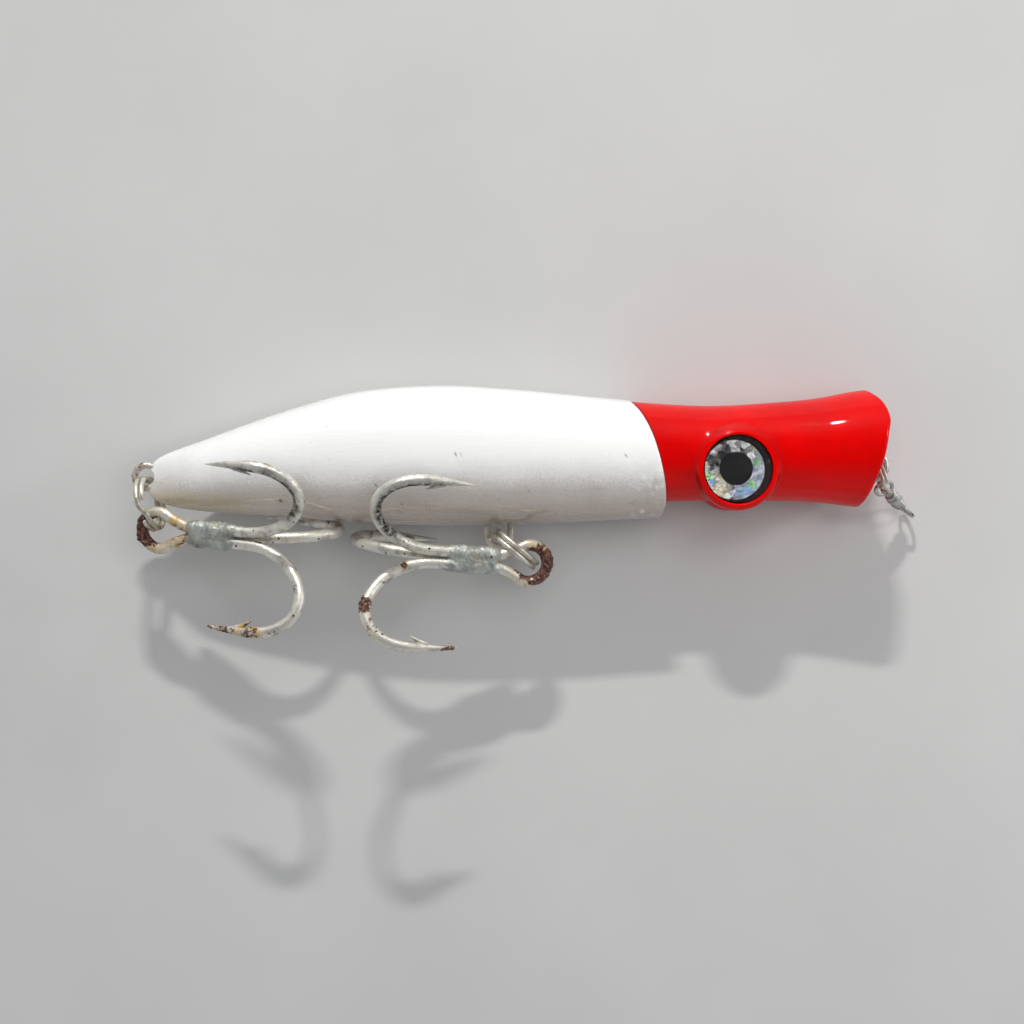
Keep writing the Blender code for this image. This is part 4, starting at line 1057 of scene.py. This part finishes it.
def braze_shape(where):
    """Rough metal run round the three shanks, thickest in the middle and feathered out at both ends."""
    stations, around = np.linspace(0, 1, 70), 72
    a = 2 * pi * np.arange(around) / around
    rays = np.column_stack((np.cos(a), np.sin(a)))
    rings = []
    for share in stations:
        x = BRAZE_START + share * (BRAZE_END - BRAZE_START)
        swell = ease(0, 0.14, share) * ease(1, 0.78, share)
        wire = HOOK_WIRE - 0.1 + 0.42 * swell
        reach = np.full(around, 0.55 + 1.35 * swell)
        for angle in (*DOUBLE_ANGLES, SINGLE_ANGLE):
            along = rays @ (SHANK_OFFSET * direction(angle))
            inside = wire ** 2 - SHANK_OFFSET ** 2 + along ** 2
            hit = np.where(inside > 0, along + np.sqrt(np.maximum(inside, 0)), 0)
            reach = (reach + hit + np.sqrt((reach - hit) ** 2 + 0.05)) / 2
        rings.append(np.column_stack((np.full(around, x), rays * reach[:, None])))
    points = placed(np.vstack(rings), where)
    centres = placed(np.repeat([(r[0, 0], 0, 0) for r in rings], around, axis=0), where)
    for amount, size in ((0.16, 1.5), (0.13, 0.5)):
        points = roughened(points, centres, amount, size)
    return points, tube_faces(len(rings), around)


def treble(prefix, setting, spots):
    """A treble hook: the double wire, the single wire and the brazing round their shanks."""
    where = treble_frame(setting, f"{prefix}_treble_single")
    path, tips = double_wire()
    hook_piece(prefix, "double", path, tips, [barb(angle) for angle in DOUBLE_ANGLES], where, spots)
    single = arm(SINGLE_ANGLE)
    path = evenly(np.vstack(((5, 0, -SHANK_OFFSET), (9.5, 0, -SHANK_OFFSET), single)), 0.28)
    hook_piece(prefix, "single", path, (single[-1],), [barb(SINGLE_ANGLE)], where, spots)
    points, faces = braze_shape(where)
    masks = {"rust": 0.06 + 0.1 * fractal(points, 2), "stain": 0.1 + 0.2 * fractal(points, 2.5)}
    replaced = (f"{prefix}_treble_braze",)
    piece(f"{prefix}_hook_brazing", (points, faces), "braze", replaced, masks, f"{prefix}_hook")


# Rust spots: ((centre, radius, in the hook's own axes or not), rust, stain); ANY leaves a coordinate open
ANY = np.nan
BELLY_SPOTS = (
    (((-1.4, 0, ANY), 3.9, True), 0.8, 0.7),
    (((39.9, -22.3, ANY), 1.9, False), 0.76, 0.5),
    (((41.7, -26, ANY), 1.8, False), 0.42, 0.4),
    (((47, -15.6, ANY), 0.75, False), 0.62, 0.6),
    (((57.6, -12.7, ANY), 1.6, False), 0.2, 1),
    (((54.8, -30.6, ANY), 1.5, False), 0.62, 0.4),
)
TAIL_SPOTS = (
    (((-1.9, 0, ANY), 3.7, True), 0.78, 0.8),
    (((4, 0, ANY), 2.6, True), 0.4, 1),
    (((13.5, -26, ANY), 4.4, False), 0.52, 0.5),
    (((19.8, -27, ANY), 2, False), 0.5, 0.9),
)


# Inside: closed in by the shells

def inside():
    """The ballast, tube and balls keep their CAD shapes and get finishes."""
    balls = [(f"rattle_ball_{number}", "ball", "rattle_ball") for number in (1, 2, 3)]
    for node, finish, slot in (
        ("tail_ballast", "lead", "ballast"), ("belly_ballast", "lead", "ballast"),
        ("rattle_tube", "brass", "rattle_tube"), *balls,
    ):
        obj = frame["nodes"][node]
        obj.data.materials.clear()
        obj.data.materials.append(FINISH[finish])


# Camera, floor and light

CAMERA_ABOVE, CAMERA_HEIGHT = (66.1, -6.2, 0), 0.4
CAMERA_LENS = 77.3
FLOOR_HALF = 3


def light(name, size, energy, location, target, colour=(1, 1, 1), mirrored=True):
    data = bpy.data.lights.new(name, "AREA")
    data.shape = "RECTANGLE"
    data.size, data.size_y = size
    data.energy = energy
    data.color = colour
    obj = new_object(name, data)
    obj.location = location
    obj.rotation_mode = "QUATERNION"
    obj.rotation_quaternion = (Vector(target) - Vector(location)).to_track_quat("-Z", "Y")
    obj.visible_glossy = mirrored


def studio():
    """The camera straight above, a pale floor, a grey sky that darkens overhead, and three lights."""
    camera = new_object("camera", bpy.data.cameras.new("camera"))
    above = at(CAMERA_ABOVE)
    camera.location = (above[0], above[1], above[2] + CAMERA_HEIGHT)
    camera.data.lens = CAMERA_LENS
    camera.data.clip_start, camera.data.clip_end = 0.01, 20
    bpy.context.scene.camera = camera

    world = bpy.data.worlds.new("studio")
    world.use_nodes = True
    bpy.context.scene.world = world
    tree = world.node_tree
    back = tree.nodes["Background"]
    height = add(tree, "SeparateXYZ", {"Vector": add(tree, "TexCoord").outputs["Generated"]}).outputs["Z"]
    horizon, middle, zenith = (0.5, 0.51, 0.53), (0.42, 0.43, 0.44), (0.06, 0.06, 0.063)
    sky = ramp(tree, height, (0, horizon), (0.45, middle), (0.93, zenith))
    tree.links.new(sky, back.inputs["Color"])

    light("key", (0.09, 0.02), 4.4, (-0.05, 0.75, 0.45), (0, 0, 0.01), (1, 0.99, 0.97))
    light("fill", (0.6, 0.6), 2.7, (0.12, 0.1, 0.8), (0, 0, 0), mirrored=False)
    light("rim", (0.06, 0.06), 0.25, (0.35, 0.1, 0.18), (0.04, 0, 0.01))
    bpy.context.scene.view_settings.view_transform = "Standard"

    made, tree, shader = new_finish("pale_floor", Roughness=0.55)
    tone = ramp(tree, noise_at(tree, 14, 4), (0.3, (0.56, 0.56, 0.555)), (0.7, (0.61, 0.61, 0.605)))
    tree.links.new(tone, shader.inputs["Base Color"])
    floor = bpy.data.meshes.new("floor")
    corners = [(x * FLOOR_HALF, y * FLOOR_HALF, 0) for x, y in ((-1, -1), (1, -1), (1, 1), (-1, 1))]
    floor.from_pydata(corners, [], [(0, 1, 2, 3)])
    floor.materials.append(made)
    obj = new_object("floor", floor)


def main():
    body()
    head()
    for flank, side in (("right", 1), ("left", -1)):
        eye(flank, side)
    through_wire()
    split_rings()
    swivel()
    treble("belly", BELLY_TREBLE, BELLY_SPOTS)
    treble("tail", TAIL_TREBLE, TAIL_SPOTS)
    inside()
    studio()


main()
